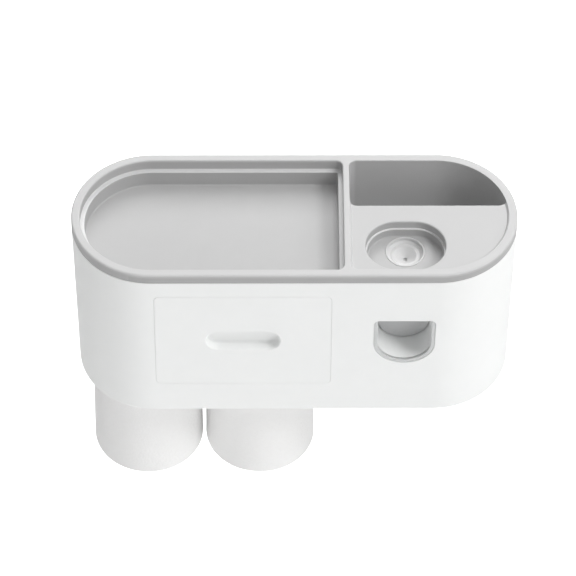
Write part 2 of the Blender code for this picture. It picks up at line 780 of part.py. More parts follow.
# Tumblers: mouth down under magnets in the housing's floor, each with a steel disc in its base
def make_tumblers():
    floor_z = BODY_BOTTOM_Z + WALL
    base_z = BODY_BOTTOM_Z + SEAT_DEPTH - GAP
    mouth_z = base_z - TUMBLER_H
    disc_room = DISC_T + GAP
    made = []
    for x, name in tumbler_places():
        y = from_back(BODY_R)
        edge = arc(TUMBLER_BASE_R - TUMBLER_EDGE_R, base_z - TUMBLER_EDGE_R, TUMBLER_EDGE_R, 90, 0)
        lip_middle = TUMBLER_MOUTH_R - TUMBLER_WALL / 2
        lip = arc(lip_middle, mouth_z + TUMBLER_WALL / 2, TUMBLER_WALL / 2, 0, -180, SMALL_ARC_STEP)
        inner_r = TUMBLER_BASE_R - TUMBLER_WALL
        inner_z = base_z - TUMBLER_BASE_T
        inner = arc(inner_r - TUMBLER_EDGE_R, inner_z - TUMBLER_EDGE_R, TUMBLER_EDGE_R, 0, 90)
        profile = [(0, base_z - disc_room), (DISC_R + GAP, base_z - disc_room), (DISC_R + GAP, base_z)]
        profile += edge + lip + inner + [(0, inner_z)]
        tumbler = turned(f"tumbler_{name}", profile, x, y, CUP_WHITE, FINE_TURN_STEPS)
        disc_z = base_z - DISC_T - GAP / 2
        disc = rod(f"tumbler_plate_{name}", DISC_R, (x, y, disc_z), (x, y, disc_z + DISC_T), STEEL)
        magnet_z = floor_z + GAP / 2
        rod(f"magnet_{name}", MAGNET_R, (x, y, magnet_z), (x, y, magnet_z + MAGNET_T), MAGNET)
        cap_r = MAGNET_R + GAP + MAGNET_BOSS_T
        cap_z = floor_z + MAGNET_T + 2 * GAP
        rod(f"magnet_cap_{name}", cap_r, (x, y, cap_z), (x, y, cap_z + MAGNET_CAP_T), WHITE)
        made.append((name, tumbler, disc))
    return made


TUMBLERS = make_tumblers()


# Squeezer: U-shaped tunnel with the pump's chamber, duct and outlet on its roof
def tunnel_outline(grow):
    """Outline in x and z of the tunnel's bore, grown by a wall."""
    return u_shape(
        MOUTH_W / 2 + grow, below_rim(MOUTH_TOP) + grow, below_rim(MOUTH_BOTTOM) - grow, TUNNEL_CORNER_R,
    )


def make_squeezer():
    x = SQUEEZER_X
    roof_z = below_rim(MOUTH_TOP)
    pump_y = from_back(PUMP_FROM_BACK)
    inlet_y = from_back(SEAT_FROM_BACK)
    outlet_y = from_back(OUTLET_FROM_BACK)
    on_roof = roof_z + SINK
    tunnel_front = from_back(TUNNEL_FRONT)
    body = prism("squeezer_body", tunnel_outline(TUNNEL_WALL), tunnel_front, from_back(TUNNEL_BACK), "Y", WHITE)

    chamber = rod(
        "chamber_wall", PUMP_BORE_R + PUMP_WALL,
        (x, pump_y, on_roof), (x, pump_y, below_rim(PUMP_TOP - PUMP_WALL)),
    )
    seat_dish = rod(
        "seat_dish", COLLAR_R + GAP + DISH_WALL, (x, inlet_y, below_rim(DISH_FLOOR + DISH_WALL)),
        (x, inlet_y, below_rim(SOCKET_DEPTH + TRAY_WALL + 3 * GAP)),
    )
    inlet_pipe = rod(
        "inlet_pipe", VALVE_R + GAP + DISH_WALL,
        (x, inlet_y, on_roof), (x, inlet_y, below_rim(DISH_FLOOR + SINK)), steps=SMALL_TURN_STEPS,
    )
    duct_z = below_rim(DUCT_BELOW_RIM)
    duct_front = OUTLET_FROM_BACK + OUTLET_BOSS_R
    duct_half = DUCT_R + DUCT_WALL
    duct_top = duct_z + duct_half
    duct_block = prism(
        "duct_block", rounded_box(x - duct_half, x + duct_half, on_roof, duct_top, DUCT_CORNER_R),
        from_back(duct_front), pump_y, "Y",
    )
    outlet_boss = rod(
        "outlet_boss", OUTLET_BOSS_R, (x, outlet_y, on_roof), (x, outlet_y, duct_top - SINK / 2),
        steps=SMALL_TURN_STEPS,
    )
    add(body, chamber, seat_dish, inlet_pipe, duct_block, outlet_boss)

    # Spigot, open at its top, that carries the tunnel through the housing's wall to the bezel
    spigot_front = from_back(BODY_D - BEZEL_INSET - BEZEL_T - SPIGOT_CLEAR)
    spigot = prism("spigot", bezel_outline(-SPIGOT_CLEAR), spigot_front, tunnel_front + SINK, "Y")
    lean(spigot)
    add(body, spigot)

    # Ears for the screws into the housing, and bosses for those of the rear cover
    ear_front = BODY_D - WALL - FIXING_BOSS_L - GAP
    ear_back = ear_front - EAR_T
    ear_z = below_rim(EAR_BELOW_RIM)
    cover_boss_side = MOUTH_W / 2 + TUNNEL_WALL + COVER_BOSS_R - SCREW_R / 2
    for side, name in SIDES:
        ear_x = x + side * EAR_SIDE
        x0, x1 = sorted((ear_x + side * EAR_R, x + side * (MOUTH_W / 2 + SINK)))
        left_r, right_r = (EAR_R, EAR_ROOT_R) if side < 0 else (EAR_ROOT_R, EAR_R)
        outline = rounded_box(x0, x1, ear_z - EAR_R, ear_z + EAR_R, left_r, right_r, right_r, left_r)
        ear = prism(f"ear_{name}", outline, from_back(ear_front), from_back(ear_back), "Y")
        ear_hole = rod(
            f"ear_hole_{name}", SCREW_R + GAP, (ear_x, from_back(ear_front + PAST), ear_z),
            (ear_x, from_back(ear_back - PAST), ear_z), steps=PIN_STEPS,
        )
        boss_x = x + side * cover_boss_side
        cover_boss = rod(
            f"cover_boss_{name}", COVER_BOSS_R, (boss_x, from_back(TUNNEL_BACK), ear_z),
            (boss_x, from_back(TUNNEL_BACK + SCREW_L + PAST), ear_z), steps=SMALL_TURN_STEPS,
        )
        cover_pilot = rod(
            f"cover_pilot_{name}", SCREW_R + GAP, (boss_x, from_back(TUNNEL_BACK - PAST), ear_z),
            (boss_x, from_back(TUNNEL_BACK + SCREW_L), ear_z), steps=PIN_STEPS,
        )
        add(body, ear, cover_boss)
        cut(body, ear_hole, cover_pilot)

    # Bores: tunnel, chamber, inlet with its valve seat, duct and outlet
    under_roof = roof_z - SINK
    tunnel = prism("tunnel_bore", tunnel_outline(0), spigot_front - PAST, from_back(TUNNEL_BACK - PAST), "Y")
    chamber_bore = rod("chamber_bore", PUMP_BORE_R, (x, pump_y, under_roof), (x, pump_y, below_rim(PUMP_TOP)))
    dish_floor = below_rim(DISH_FLOOR)
    dish_hollow = rod("dish_hollow", COLLAR_R + GAP, (x, inlet_y, dish_floor), (x, inlet_y, below_rim(SOCKET_DEPTH)))
    valve_floor = DISH_FLOOR + VALVE_T + GAP
    valve_room = rod(
        "valve_room", VALVE_R + GAP,
        (x, inlet_y, below_rim(valve_floor)), (x, inlet_y, dish_floor + SINK), steps=SMALL_TURN_STEPS,
    )
    inlet = rod(
        "inlet", INLET_R, (x, inlet_y, below_rim(valve_floor + INLET_R)), (x, inlet_y, dish_floor),
        steps=SMALL_TURN_STEPS,
    )
    duct = rod("duct", DUCT_R, (x, pump_y, duct_z), (x, from_back(duct_front + PAST), duct_z), steps=PIN_STEPS)
    outlet = rod(
        "outlet_bore", OUTLET_R, (x, outlet_y, under_roof), (x, outlet_y, duct_z), steps=SMALL_TURN_STEPS,
    )
    cut(body, tunnel, chamber_bore, dish_hollow, valve_room, inlet, duct, outlet)
    plug_end = (x, outlet_y - OUTLET_R, duct_z)
    rod("duct_plug", DUCT_R - GAP / 2, (x, from_back(duct_front), duct_z), plug_end, SILICONE, PIN_STEPS)

    # Rear cover with a boss that centres the spring
    cover_front = TUNNEL_BACK - GAP
    cover_back = cover_front - COVER_T
    cover = prism(
        "squeezer_rear_cover", tunnel_outline(TUNNEL_WALL), from_back(cover_front), from_back(cover_back), "Y",
        WHITE,
    )
    spring_z = below_rim(SPRING_BELOW_RIM)
    cover_stud = rod(
        "cover_stud", SPRING_BOSS_R, (x, from_back(cover_front - SINK), spring_z),
        (x, from_back(cover_front + SPRING_BOSS_L), spring_z), steps=SMALL_TURN_STEPS,
    )
    add(cover, cover_stud)
    for side, name in SIDES:
        boss_x = x + side * cover_boss_side
        lug = rod(
            f"cover_lug_{name}", COVER_BOSS_R, (boss_x, from_back(cover_front - GAP), ear_z),
            (boss_x, from_back(cover_back - GAP), ear_z), steps=SMALL_TURN_STEPS,
        )
        lug_hole = rod(
            f"cover_lug_hole_{name}", SCREW_R + GAP, (boss_x, from_back(cover_front + PAST), ear_z),
            (boss_x, from_back(cover_back - PAST), ear_z), steps=PIN_STEPS,
        )
        add(cover, lug)
        cut(cover, lug_hole)

    # Screws, all driven from behind
    for number, side in ((1, -1), (2, 1)):
        make_screw(f"mounting_screw_{number}", x + side * EAR_SIDE, ear_back, ear_z)
        make_screw(f"cover_screw_{number}", x + side * cover_boss_side, cover_back - GAP, ear_z)


def make_screw(name, x, seat, z):
    """Pan-head screw that points forward, with its head behind the seat and a recess for the driver."""
    head_top = SCREW_HEAD_T + GAP
    profile = [
        (0, head_top - SCREW_RECESS), (SCREW_RECESS, head_top), (SCREW_HEAD_R * 0.7, head_top),
        (SCREW_HEAD_R, head_top - SCREW_HEAD_T / 2), (SCREW_HEAD_R, GAP), (SCREW_R, GAP),
        (SCREW_R, SCREW_POINT - SCREW_L), (0, GAP - SCREW_L),
    ]
    screw = turned(name, profile, 0, 0, STEEL, PIN_STEPS)
    screw.location = (x, from_back(seat), z)
    screw.rotation_euler = (-pi / 2, 0, 0)
    return screw


make_squeezer()


# Bezel: the ring at the mouth, open at the top
def make_bezel():
    front = from_back(BODY_D - BEZEL_INSET)
    back = front + BEZEL_T
    bezel = prism("dispenser_bezel", bezel_outline(0), front, back, "Y", CLEAR_GREY)
    fillet(bezel, BEZEL_EDGE, 1, level(front, 1))
    open_top = below_rim(MOUTH_TOP) + PAST
    mouth_outline = u_shape(MOUTH_W / 2, open_top, below_rim(MOUTH_BOTTOM), TUNNEL_CORNER_R)
    mouth = prism("bezel_mouth", mouth_outline, front - PAST, back + PAST, "Y")
    lean(bezel)
    lean(mouth)
    cut(bezel, mouth)


make_bezel()


# Push block: a U-shaped cup that slides in the tunnel, with two cheeks whose slots lift the pump's pin
def make_push_block():
    x = SQUEEZER_X
    front = from_back(PUSH_FACE)
    back = front + PUSH_LENGTH
    inner_face = front + PUSH_FACE_T
    rooted = inner_face - SINK
    block = prism("push_block", tunnel_outline(-PUSH_CLEAR), front, back, "Y", WHITE)
    fillet(block, PUSH_EDGE, 1, level(front, 1))
    hollow = prism("push_hollow", tunnel_outline(-PUSH_CLEAR - PUSH_WALL), inner_face, back + PAST, "Y")
    slot_half = CHEEK_GAP / 2
    slot_outline = rounded_box(x - slot_half, x + slot_half, inner_face, back + PAST, GAP)
    roof_slot = prism("roof_slot", slot_outline, below_rim(MOUTH_TOP + 2 * PAST), below_rim(MOUTH_TOP - PAST))
    cut(block, hollow, roof_slot)

    # The pin stays at one place from the back while the block passes it, so the slot runs forward and up
    pin_y = from_back(PUMP_FROM_BACK)
    pin_z = below_rim(PIN_BELOW_RIM)
    rise = PUSH_TRAVEL * CAM_RATIO
    half = PIN_R + GAP
    angle = degrees(atan2(rise, PUSH_TRAVEL))
    low_end = arc(pin_y, pin_z, half, -angle - 90, -angle + 90, SMALL_ARC_STEP)
    high_end = arc(pin_y - PUSH_TRAVEL, pin_z + rise, half, -angle + 90, -angle + 270, SMALL_ARC_STEP)
    slot_reach = slot_half + CHEEK_T + PAST
    cam = prism("cam_slot", low_end + high_end, x - slot_reach, x + slot_reach, "X")
    cheek_top = below_rim(MOUTH_TOP + PUSH_CLEAR + PUSH_WALL - GAP)
    for side, name in SIDES:
        x0, x1 = sorted((x + side * slot_half, x + side * (slot_half + CHEEK_T)))
        cheek_outline = rounded_box(x0, x1, below_rim(CHEEK_BOTTOM), cheek_top, GAP)
        add(block, prism(f"cheek_{name}", cheek_outline, rooted, back, "Y"))
    cut(block, cam)
    spring_z = below_rim(SPRING_BELOW_RIM)
    stud_end = (x, inner_face + SPRING_BOSS_L, spring_z)
    add(block, rod("push_stud", SPRING_BOSS_R, (x, rooted, spring_z), stud_end, steps=SMALL_TURN_STEPS))
    return block


PUSH_BLOCK = make_push_block()


# Pump: a piston on a stem, lifted by a cross pin in the cam slots, with a silicone seal ring
def make_pump():
    x = SQUEEZER_X
    y = from_back(PUMP_FROM_BACK)
    top = below_rim(PISTON_TOP)
    low = top - PISTON_H
    radius = PUMP_BORE_R - PISTON_CLEAR
    groove_top = top - GROOVE_INSET
    groove_low = low + GROOVE_INSET
    pin_z = below_rim(PIN_BELOW_RIM)
    stem_end = pin_z - 2 * PIN_R
    profile = [
        (0, top), (radius, top), (radius, groove_top), (radius - SEAL_GROOVE, groove_top),
        (radius - SEAL_GROOVE, groove_low), (radius, groove_low), (radius, low), (STEM_R, low),
        (STEM_R, stem_end), (0, stem_end),
    ]
    piston = turned("pump_piston", profile, x, y, WHITE)
    pin_half = CHEEK_GAP / 2 + CHEEK_T + SINK
    pin = rod("cross_pin", PIN_R, (x - pin_half, y, pin_z), (x + pin_half, y, pin_z), steps=SMALL_TURN_STEPS)
    add(piston, pin)
    seal_in = radius - SEAL_GROOVE + GAP / 2
    seal_out = PUMP_BORE_R - GAP / 3
    seal_top = groove_top - GAP / 2
    seal_low = groove_low + GAP / 2
    ring = [(seal_in, seal_top), (seal_out, seal_top - GAP), (seal_out, seal_low + GAP), (seal_in, seal_low)]
    seal = turned("piston_seal", ring, x, y, SILICONE)
    return piston, seal


PISTON, SEAL = make_pump()


# Return spring: one unbroken wire between the rear cover and the back of the push block
def make_spring():
    cover_front = TUNNEL_BACK - GAP
    start = cover_front + GAP + SPRING_WIRE / 2
    end = PUSH_FACE - PUSH_FACE_T - GAP - SPRING_WIRE / 2
    total = SPRING_CURLS * SPRING_CURL_POINTS
    points = []
    for i in range(total + 1):
        # The curls lie closer at the ends, as those of a spring with closed ends do
        share = i / total
        run = start + (end - start) * (share - sin(2 * pi * share) / (2 * pi) * SPRING_END_FLATNESS)
        turn = 2 * pi * i / SPRING_CURL_POINTS
        x = SQUEEZER_X + SPRING_R * cos(turn)
        z = below_rim(SPRING_BELOW_RIM) + SPRING_R * sin(turn)
        points.append((x, from_back(run), z))
    curve = bpy.data.curves.new("return_spring", "CURVE")
    curve.dimensions = "3D"
    curve.bevel_depth = SPRING_WIRE / 2
    curve.bevel_resolution = 1
    curve.use_fill_caps = True
    spline = curve.splines.new("POLY")
    spline.points.add(len(points) - 1)
    for point, place in zip(spline.points, points):
        point.co = (*place, 1)
    spring = bpy.data.objects.new("return_spring", curve)
    parts.objects.link(spring)
    curve.materials.append(STEEL)
    weld = spring.modifiers.new("caps", "WELD")
    weld.merge_threshold = 1e-6
    apart = min(
        (Vector(a) - Vector(b)).length
        for i, a in enumerate(points) for b in points[i + SPRING_CURL_POINTS // 2:]
    )
    print(f"return spring: least gap to itself {1000 * (apart - SPRING_WIRE):.2f} mm")


make_spring()


# Silicone pieces of the feed: the tube seat, the inlet valve under it and the outlet
def make_feed():
    x = SQUEEZER_X
    y = from_back(SEAT_FROM_BACK)
    top = below_rim(SOCKET_DEPTH - COLLAR_PROUD)
    disc_z = top - COLLAR_STEP
    bead_z = disc_z - COLLAR_DISH
    funnel_z = bead_z - FUNNEL_DEPTH
    seat_low = below_rim(DISH_FLOOR) + GAP
    inner_r = COLLAR_R - COLLAR_LIP_W
    profile = [
        (inner_r, disc_z), (inner_r, top - GAP), (inner_r + GAP, top), (COLLAR_R - GAP, top),
        (COLLAR_R, top - GAP), (COLLAR_R, seat_low), (FEED_R, seat_low), (FEED_R, funnel_z),
        (FUNNEL_R - 2 * GAP, bead_z - GAP), (FUNNEL_R, bead_z + GAP), (FUNNEL_R + 2 * GAP, bead_z),
    ]
    turned("nozzle_seat", profile, x, y, SILICONE)
    valve_top = below_rim(DISH_FLOOR) - GAP / 2
    valve_low = valve_top - VALVE_T
    valve_dish = [
        (0, valve_top - VALVE_T / 3), (VALVE_R / 2, valve_top), (VALVE_R, valve_top), (VALVE_R, valve_low + VALVE_T / 3),
        (VALVE_R / 2, valve_low), (0, valve_low),
    ]
    turned("inlet_valve", valve_dish, x, y, SILICONE, SMALL_TURN_STEPS)

    outlet_y = from_back(OUTLET_FROM_BACK)
    roof_z = below_rim(MOUTH_TOP)
    plug_r = OUTLET_R - GAP
    plug_top = roof_z + OUTLET_PLUG_L
    flange_top = roof_z - GAP
    flange_low = flange_top - OUTLET_FLANGE
    spout_low = roof_z - OUTLET_REACH
    flange_r = plug_r + OUTLET_FLANGE
    spout = [
        (plug_r - OUTLET_FLANGE, plug_top), (plug_r, plug_top), (plug_r, flange_top), (flange_r, flange_top),
        (flange_r, flange_low), (SPOUT_R + OUTLET_FLANGE, spout_low), (SPOUT_R, spout_low),
        (SPOUT_R, roof_z + OUTLET_FLANGE),
    ]
    turned("outlet_nozzle", spout, x, outlet_y, SILICONE, SMALL_TURN_STEPS)


make_feed()


# Each moving group hangs from an empty on its joint's axis
def carry(name, place, pieces):
    empty = bpy.data.objects.new(name, None)
    empty.location = place
    parts.objects.link(empty)
    for piece in pieces:
        piece.parent = empty
        piece.matrix_parent_inverse = Matrix.Translation(-Vector(place))


DRAWER_MIDDLE_Z = below_rim(DRAWER_TOP + DRAWER_H / 2)
carry("tray_lift", (0, from_back(BODY_R), RIM_TOP_Z), [TRAY])
carry("drawer_slide", (DRAWER_X, from_back(BODY_D), DRAWER_MIDDLE_Z), [DRAWER_BOX, DRAWER_FRONT])
carry("pusher_slide", (SQUEEZER_X, from_back(PUSH_FACE), below_rim(SPRING_BELOW_RIM)), [PUSH_BLOCK])
carry("pump_lift", (SQUEEZER_X, from_back(PUMP_FROM_BACK), below_rim(PISTON_TOP)), [PISTON, SEAL])
for tumbler_name, tumbler_object, disc_object in TUMBLERS:
    place = (tumbler_object.location.x, tumbler_object.location.y, BODY_BOTTOM_Z)
    carry(f"tumbler_{tumbler_name}_pull", place, [tumbler_object, disc_object])
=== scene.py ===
# Wall-mounted tumbler holder: white housing, grey lift-out tray, drawer, toothpaste squeezer and two tumblers.
# Metres, +Z up, the wall at y = 0 and the holder in front of it towards -Y.
import bpy
import bmesh
from math import asin, cos, degrees, pi, radians, sin, tan
from mathutils import Matrix, Vector


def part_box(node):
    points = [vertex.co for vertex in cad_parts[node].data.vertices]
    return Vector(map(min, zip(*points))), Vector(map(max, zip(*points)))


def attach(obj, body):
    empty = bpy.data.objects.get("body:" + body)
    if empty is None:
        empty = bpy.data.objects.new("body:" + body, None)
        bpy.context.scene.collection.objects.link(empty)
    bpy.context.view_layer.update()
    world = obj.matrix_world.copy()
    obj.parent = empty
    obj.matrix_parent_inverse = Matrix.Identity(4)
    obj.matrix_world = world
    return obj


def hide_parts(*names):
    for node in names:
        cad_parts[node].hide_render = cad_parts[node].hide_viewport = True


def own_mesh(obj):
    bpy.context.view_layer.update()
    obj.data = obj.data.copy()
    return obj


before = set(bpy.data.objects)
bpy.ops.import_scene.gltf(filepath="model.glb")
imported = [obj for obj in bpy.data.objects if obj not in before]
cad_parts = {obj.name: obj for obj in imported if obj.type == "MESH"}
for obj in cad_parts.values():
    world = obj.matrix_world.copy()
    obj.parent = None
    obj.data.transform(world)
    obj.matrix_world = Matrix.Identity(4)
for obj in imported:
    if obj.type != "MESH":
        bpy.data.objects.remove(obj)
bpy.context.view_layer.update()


# Studio: the camera looks down at the holder from in front, through a long lens, as for a catalogue.
# Twelve soft lamps stand round it, the strongest behind and above, and a pale floor lies well below, as it hangs free.
CAMERA_PLACE = Vector((-0.021447, -1.864388, 2.141256))
CAMERA_DOWN = 0.8661
CAMERA_YAW = 0.0097
CAMERA_ROLL = 0.0061
CAMERA_LENS = 262.74
SENSOR_W = 36.0
VIEW_REACH = 20.0
ahead = Vector((sin(CAMERA_YAW) * cos(CAMERA_DOWN), cos(CAMERA_YAW) * cos(CAMERA_DOWN), -sin(CAMERA_DOWN)))
level_right = Vector((cos(CAMERA_YAW), -sin(CAMERA_YAW), 0))
level_up = level_right.cross(ahead)
right = level_right * cos(CAMERA_ROLL) + level_up * sin(CAMERA_ROLL)
up = level_up * cos(CAMERA_ROLL) - level_right * sin(CAMERA_ROLL)
data = bpy.data.cameras.new("catalogue_camera")
data.lens = CAMERA_LENS
data.sensor_width = SENSOR_W
data.clip_end = VIEW_REACH
camera = bpy.data.objects.new("catalogue_camera", data)
camera.matrix_world = Matrix.Translation(CAMERA_PLACE) @ Matrix((right, up, -ahead)).transposed().to_4x4()
bpy.context.scene.collection.objects.link(camera)
bpy.context.scene.camera = camera
bpy.context.scene.view_settings.view_transform = "Standard"

LAMP_TARGET = Vector((0.0, -0.05, 0.02))
# name: (azimuth from the front round to the right, elevation, distance, width, watts)
LAMPS = {
    "back_lamp": (180, 50, 2.4, 1.5, 45.5),
    "key_lamp": (60, 50, 2.4, 0.5, 16.0),
    "overhead_lamp": (0, 90, 2.4, 1.5, 6.0),
    "overhead_right_lamp": (90, 75, 2.4, 1.5, 10.7),
    "right_lamp": (90, 50, 2.4, 1.5, 9.8),
    "right_front_lamp": (60, 35, 2.4, 1.5, 6.3),
    "low_right_lamp": (45, 20, 2.4, 1.5, 9.7),
    "low_front_lamp": (0, 20, 2.4, 1.5, 4.9),
    "low_left_lamp": (315, 20, 2.4, 1.5, 3.0),
    "left_lamp": (270, 30, 2.4, 1.5, 3.0),
    "front_fill": (0, -20, 1.3, 1.0, 4.2),
    "left_fill": (300, -20, 1.3, 1.0, 2.5),
}
for name, (azimuth, elevation, far, width, watts) in LAMPS.items():
    a = radians(azimuth)
    e = radians(elevation)
    ray = Vector((cos(e) * sin(a), -cos(e) * cos(a), sin(e)))
    data = bpy.data.lights.new(name, "AREA")
    data.shape = "SQUARE"
    data.size = width
    data.energy = watts
    lamp = bpy.data.objects.new(name, data)
    lamp.location = LAMP_TARGET + ray * far
    lamp.rotation_mode = "QUATERNION"
    lamp.rotation_quaternion = ray.to_track_quat("Z", "Y")
    bpy.context.scene.collection.objects.link(lamp)


class Wire:
    """A value in a node tree: adding, multiplying and so on make the Math nodes."""

    def __init__(self, nodes, socket):
        self.nodes = nodes
        self.socket = socket

    def math(self, operation, first, second):
        return self.nodes.add("ShaderNodeMath", {"operation": operation}, {0: first, 1: second})

    def __add__(self, other):
        return self.math("ADD", self, other)

    __radd__ = __add__

    def __mul__(self, other):
        return self.math("MULTIPLY", self, other)

    __rmul__ = __mul__

    def __sub__(self, other):
        return self.math("SUBTRACT", self, other)

    def __rsub__(self, other):
        return self.math("SUBTRACT", other, self)

    def above(self, level):
        return self.math("GREATER_THAN", self, level)

    def at_least(self, level):
        return self.math("MAXIMUM", self, level)

    def at_most(self, level):
        return self.math("MINIMUM", self, level)

    def __getitem__(self, name):
        return Wire(self.nodes, self.socket.node.outputs[name])


class Nodes:
    """A node tree that is built node by node."""

    def __init__(self, tree):
        self.tree = tree

    def add(self, kind, settings, sockets):
        """New node: its settings first, then its sockets' values or links; gives its first output, if any."""
        node = self.tree.nodes.new(kind)
        for name, value in settings.items():
            if name == "stops":
                self.stops(node.color_ramp, value)
            else:
                setattr(node, name, value)
        for name, value in sockets.items():
            self.feed(node.inputs[name], value)
        return Wire(self, node.outputs[0]) if node.outputs else None

    def stops(self, ramp, stops):
        while len(ramp.elements) < len(stops):
            ramp.elements.new(0.5)
        for element, (at, colour) in zip(ramp.elements, stops):
            element.position = at
            element.color = (*colour, 1.0)

    def feed(self, socket, value):
        if isinstance(value, Wire):
            self.tree.links.new(value.socket, socket)
        else:
            socket.default_value = value

    def shown(self):
        """1 where a surface is seen by the camera, by itself or in gloss or glass, and 0 where it only lights."""
        rays = self.add("ShaderNodeLightPath", {}, {})
        return rays["Is Camera Ray"] + rays["Is Glossy Ray"] + rays["Is Transmission Ray"]


class Finish(Nodes):
    """A material of one of the holder's plastics or metals."""

    def __init__(self, name, colour, roughness, metallic=0.0):
        self.material = bpy.data.materials.new(name)
        self.material.use_nodes = True
        super().__init__(self.material.node_tree)
        self.shader = self.tree.nodes["Principled BSDF"]
        self.set(**{"Base Color": (*colour, 1.0), "Roughness": roughness, "Metallic": metallic})
        self.place = self.add("ShaderNodeTexCoord", {}, {})["Object"]

    def set(self, **sockets):
        for name, value in sockets.items():
            self.feed(self.shader.inputs[name], value)

    def noise(self, scale, detail, rough=0.5):
        sockets = {"Vector": self.place, "Scale": scale, "Detail": detail, "Roughness": rough}
        return self.add("ShaderNodeTexNoise", {"noise_dimensions": "3D"}, sockets)

    def bump(self, height, depth, strength):
        sockets = {"Height": height, "Distance": depth, "Strength": strength}
        self.set(Normal=self.add("ShaderNodeBump", {}, sockets))

    def blend(self, share, first, second, kind="MIX"):
        first, second = (c if isinstance(c, Wire) else (*c, 1.0) for c in (first, second))
        mixed = self.add("ShaderNodeMix", {"data_type": "RGBA", "blend_type": kind}, {0: share, 6: first, 7: second})
        return Wire(self, mixed.socket.node.outputs[2])


WHITE = (1.0, 1.0, 1.0, 1.0)
WORLD_LEVEL = 0.055
world = bpy.data.worlds.new("white_studio")
bpy.context.scene.world = world
world.use_nodes = True
world.node_tree.nodes.clear()
sky = Nodes(world.node_tree)
dim_sky = sky.add("ShaderNodeBackground", {}, {"Color": WHITE, "Strength": WORLD_LEVEL})
white_sky = sky.add("ShaderNodeBackground", {}, {"Color": WHITE, "Strength": 1.0})
sky_mix = sky.add("ShaderNodeMixShader", {}, {0: sky.shown(), 1: dim_sky, 2: white_sky})
sky.add("ShaderNodeOutputWorld", {}, {"Surface": sky_mix})

FLOOR_Z = -0.60
FLOOR_HALF = 6.0
FLOOR_GLOW = 0.88
floor_paint = Finish("pale_floor", (0.90, 0.90, 0.90), 0.9)
glow = floor_paint.add("ShaderNodeEmission", {}, {"Color": WHITE, "Strength": FLOOR_GLOW})
lit = Wire(floor_paint, floor_paint.shader.outputs[0])
bright = floor_paint.add("ShaderNodeAddShader", {}, {0: glow, 1: lit})
floor_mix = floor_paint.add("ShaderNodeMixShader", {}, {0: floor_paint.shown(), 1: lit, 2: bright})
floor_paint.feed(floor_paint.tree.nodes["Material Output"].inputs["Surface"], floor_mix)
floor_mesh = bpy.data.meshes.new("floor")
floor_corners = [(x * FLOOR_HALF, y * FLOOR_HALF, FLOOR_Z) for x, y in ((-1, -1), (1, -1), (1, 1), (-1, 1))]
floor_mesh.from_pydata(floor_corners, [], [(0, 1, 2, 3)])
floor_mesh.materials.append(floor_paint.material)
floor = bpy.data.objects.new("floor", floor_mesh)
bpy.context.scene.collection.objects.link(floor)


# Housing: injection-moulded white ABS, a stadium in plan that narrows by its draft towards the bottom.
# The cavity is open at the top, and the drawer, squeezer and wall plate have their openings and pockets.
HOUSING_LOW, HOUSING_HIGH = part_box("housing")
RIM_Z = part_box("storage_tray")[1].z
BODY_TOP = HOUSING_HIGH.z
BODY_LOW = HOUSING_LOW.z
BODY_W = HOUSING_HIGH.x - HOUSING_LOW.x
BODY_R = (HOUSING_HIGH.y - HOUSING_LOW.y) / 2
MIDDLE_Y = (HOUSING_HIGH.y + HOUSING_LOW.y) / 2
FRONT_Y = HOUSING_LOW.y
BACK_Y = HOUSING_HIGH.y
SHELL = 0.0025
DRAFT = 0.0015
GAP = 0.0003
PAST = 0.0020
ROOT = 0.0010
ROUND_STEPS = 40
CORNER_STEPS = 24
ARC_STEPS = 6
LARGE_CORNER = 0.01
LEAST_CORNER = 0.0003
WELD = 1e-7
SEAM = 1e-6


def rim_z(depth):
    """z this far below the top of the rim."""
    return RIM_Z - depth


def oval(x0, x1, y0, y1, radii, inset, steps=ROUND_STEPS):
    """Rounded rectangle, drawn in by an inset; each corner keeps its number of points, a small one a third of them."""
    points = []
    corners = (((x0, y0), 180), ((x1, y0), 270), ((x1, y1), 0), ((x0, y1), 90))
    for ((x, y), start), radius in zip(corners, radii):
        r = max(radius - inset, LEAST_CORNER)
        cx = x + (inset + r) * (1 if x == x0 else -1)
        cy = y + (inset + r) * (1 if y == y0 else -1)
        count = steps if radius > LARGE_CORNER else steps // 3
        for i in range(count + 1):
            a = radians(start + 90 * i / count)
            points.append((cx + r * cos(a), cy + r * sin(a)))
    return points


def box_outline(x0, x1, y0, y1, radius, inset=0.0):
    return oval(x0, x1, y0, y1, [radius] * 4, inset, CORNER_STEPS)


def stadium(inset):
    return oval(-BODY_W / 2, BODY_W / 2, MIDDLE_Y - BODY_R, MIDDLE_Y + BODY_R, [BODY_R] * 4, inset)


def drafted(inset, z):
    """Stadium at a height of the drafted wall."""
    return stadium(inset + DRAFT * max(0.0, (BODY_TOP - z) / (BODY_TOP - BODY_LOW)))


def piece(name, mesh):
    obj = bpy.data.objects.new(name, mesh)
    bpy.context.scene.collection.objects.link(obj)
    return obj


def closed(shape, name, weld=WELD):
    """Piece from a bmesh, with its seams welded and its faces turned outwards."""
    bmesh.ops.remove_doubles(shape, verts=shape.verts, dist=weld)
    bmesh.ops.recalc_face_normals(shape, faces=shape.faces)
    mesh = bpy.data.meshes.new(name)
    shape.to_mesh(mesh)
    shape.free()
    return piece(name, mesh)


def loft(name, rings, axis="Z"):
    """Closed shape through rings of (u, v) points, each at its own height along the axis."""
    turns = {
        "Z": lambda u, v, w: (u, v, w),
        "Y": lambda u, v, w: (u, w, v),
        "X": lambda u, v, w: (w, u, v),
    }
    shape = bmesh.new()
    rows = [[shape.verts.new(turns[axis](u, v, w)) for u, v in ring] for ring, w in rings]
    for low, high in zip(rows, rows[1:]):
        for i in range(len(low)):
            shape.faces.new((low[i - 1], low[i], high[i], high[i - 1]))
    shape.faces.new(rows[0])
    shape.faces.new(rows[-1])
    return closed(shape, name)


def slab(name, outline, low, high):
    """Plate of one outline, from front to back."""
    return loft(name, [(outline, low), (outline, high)], "Y")


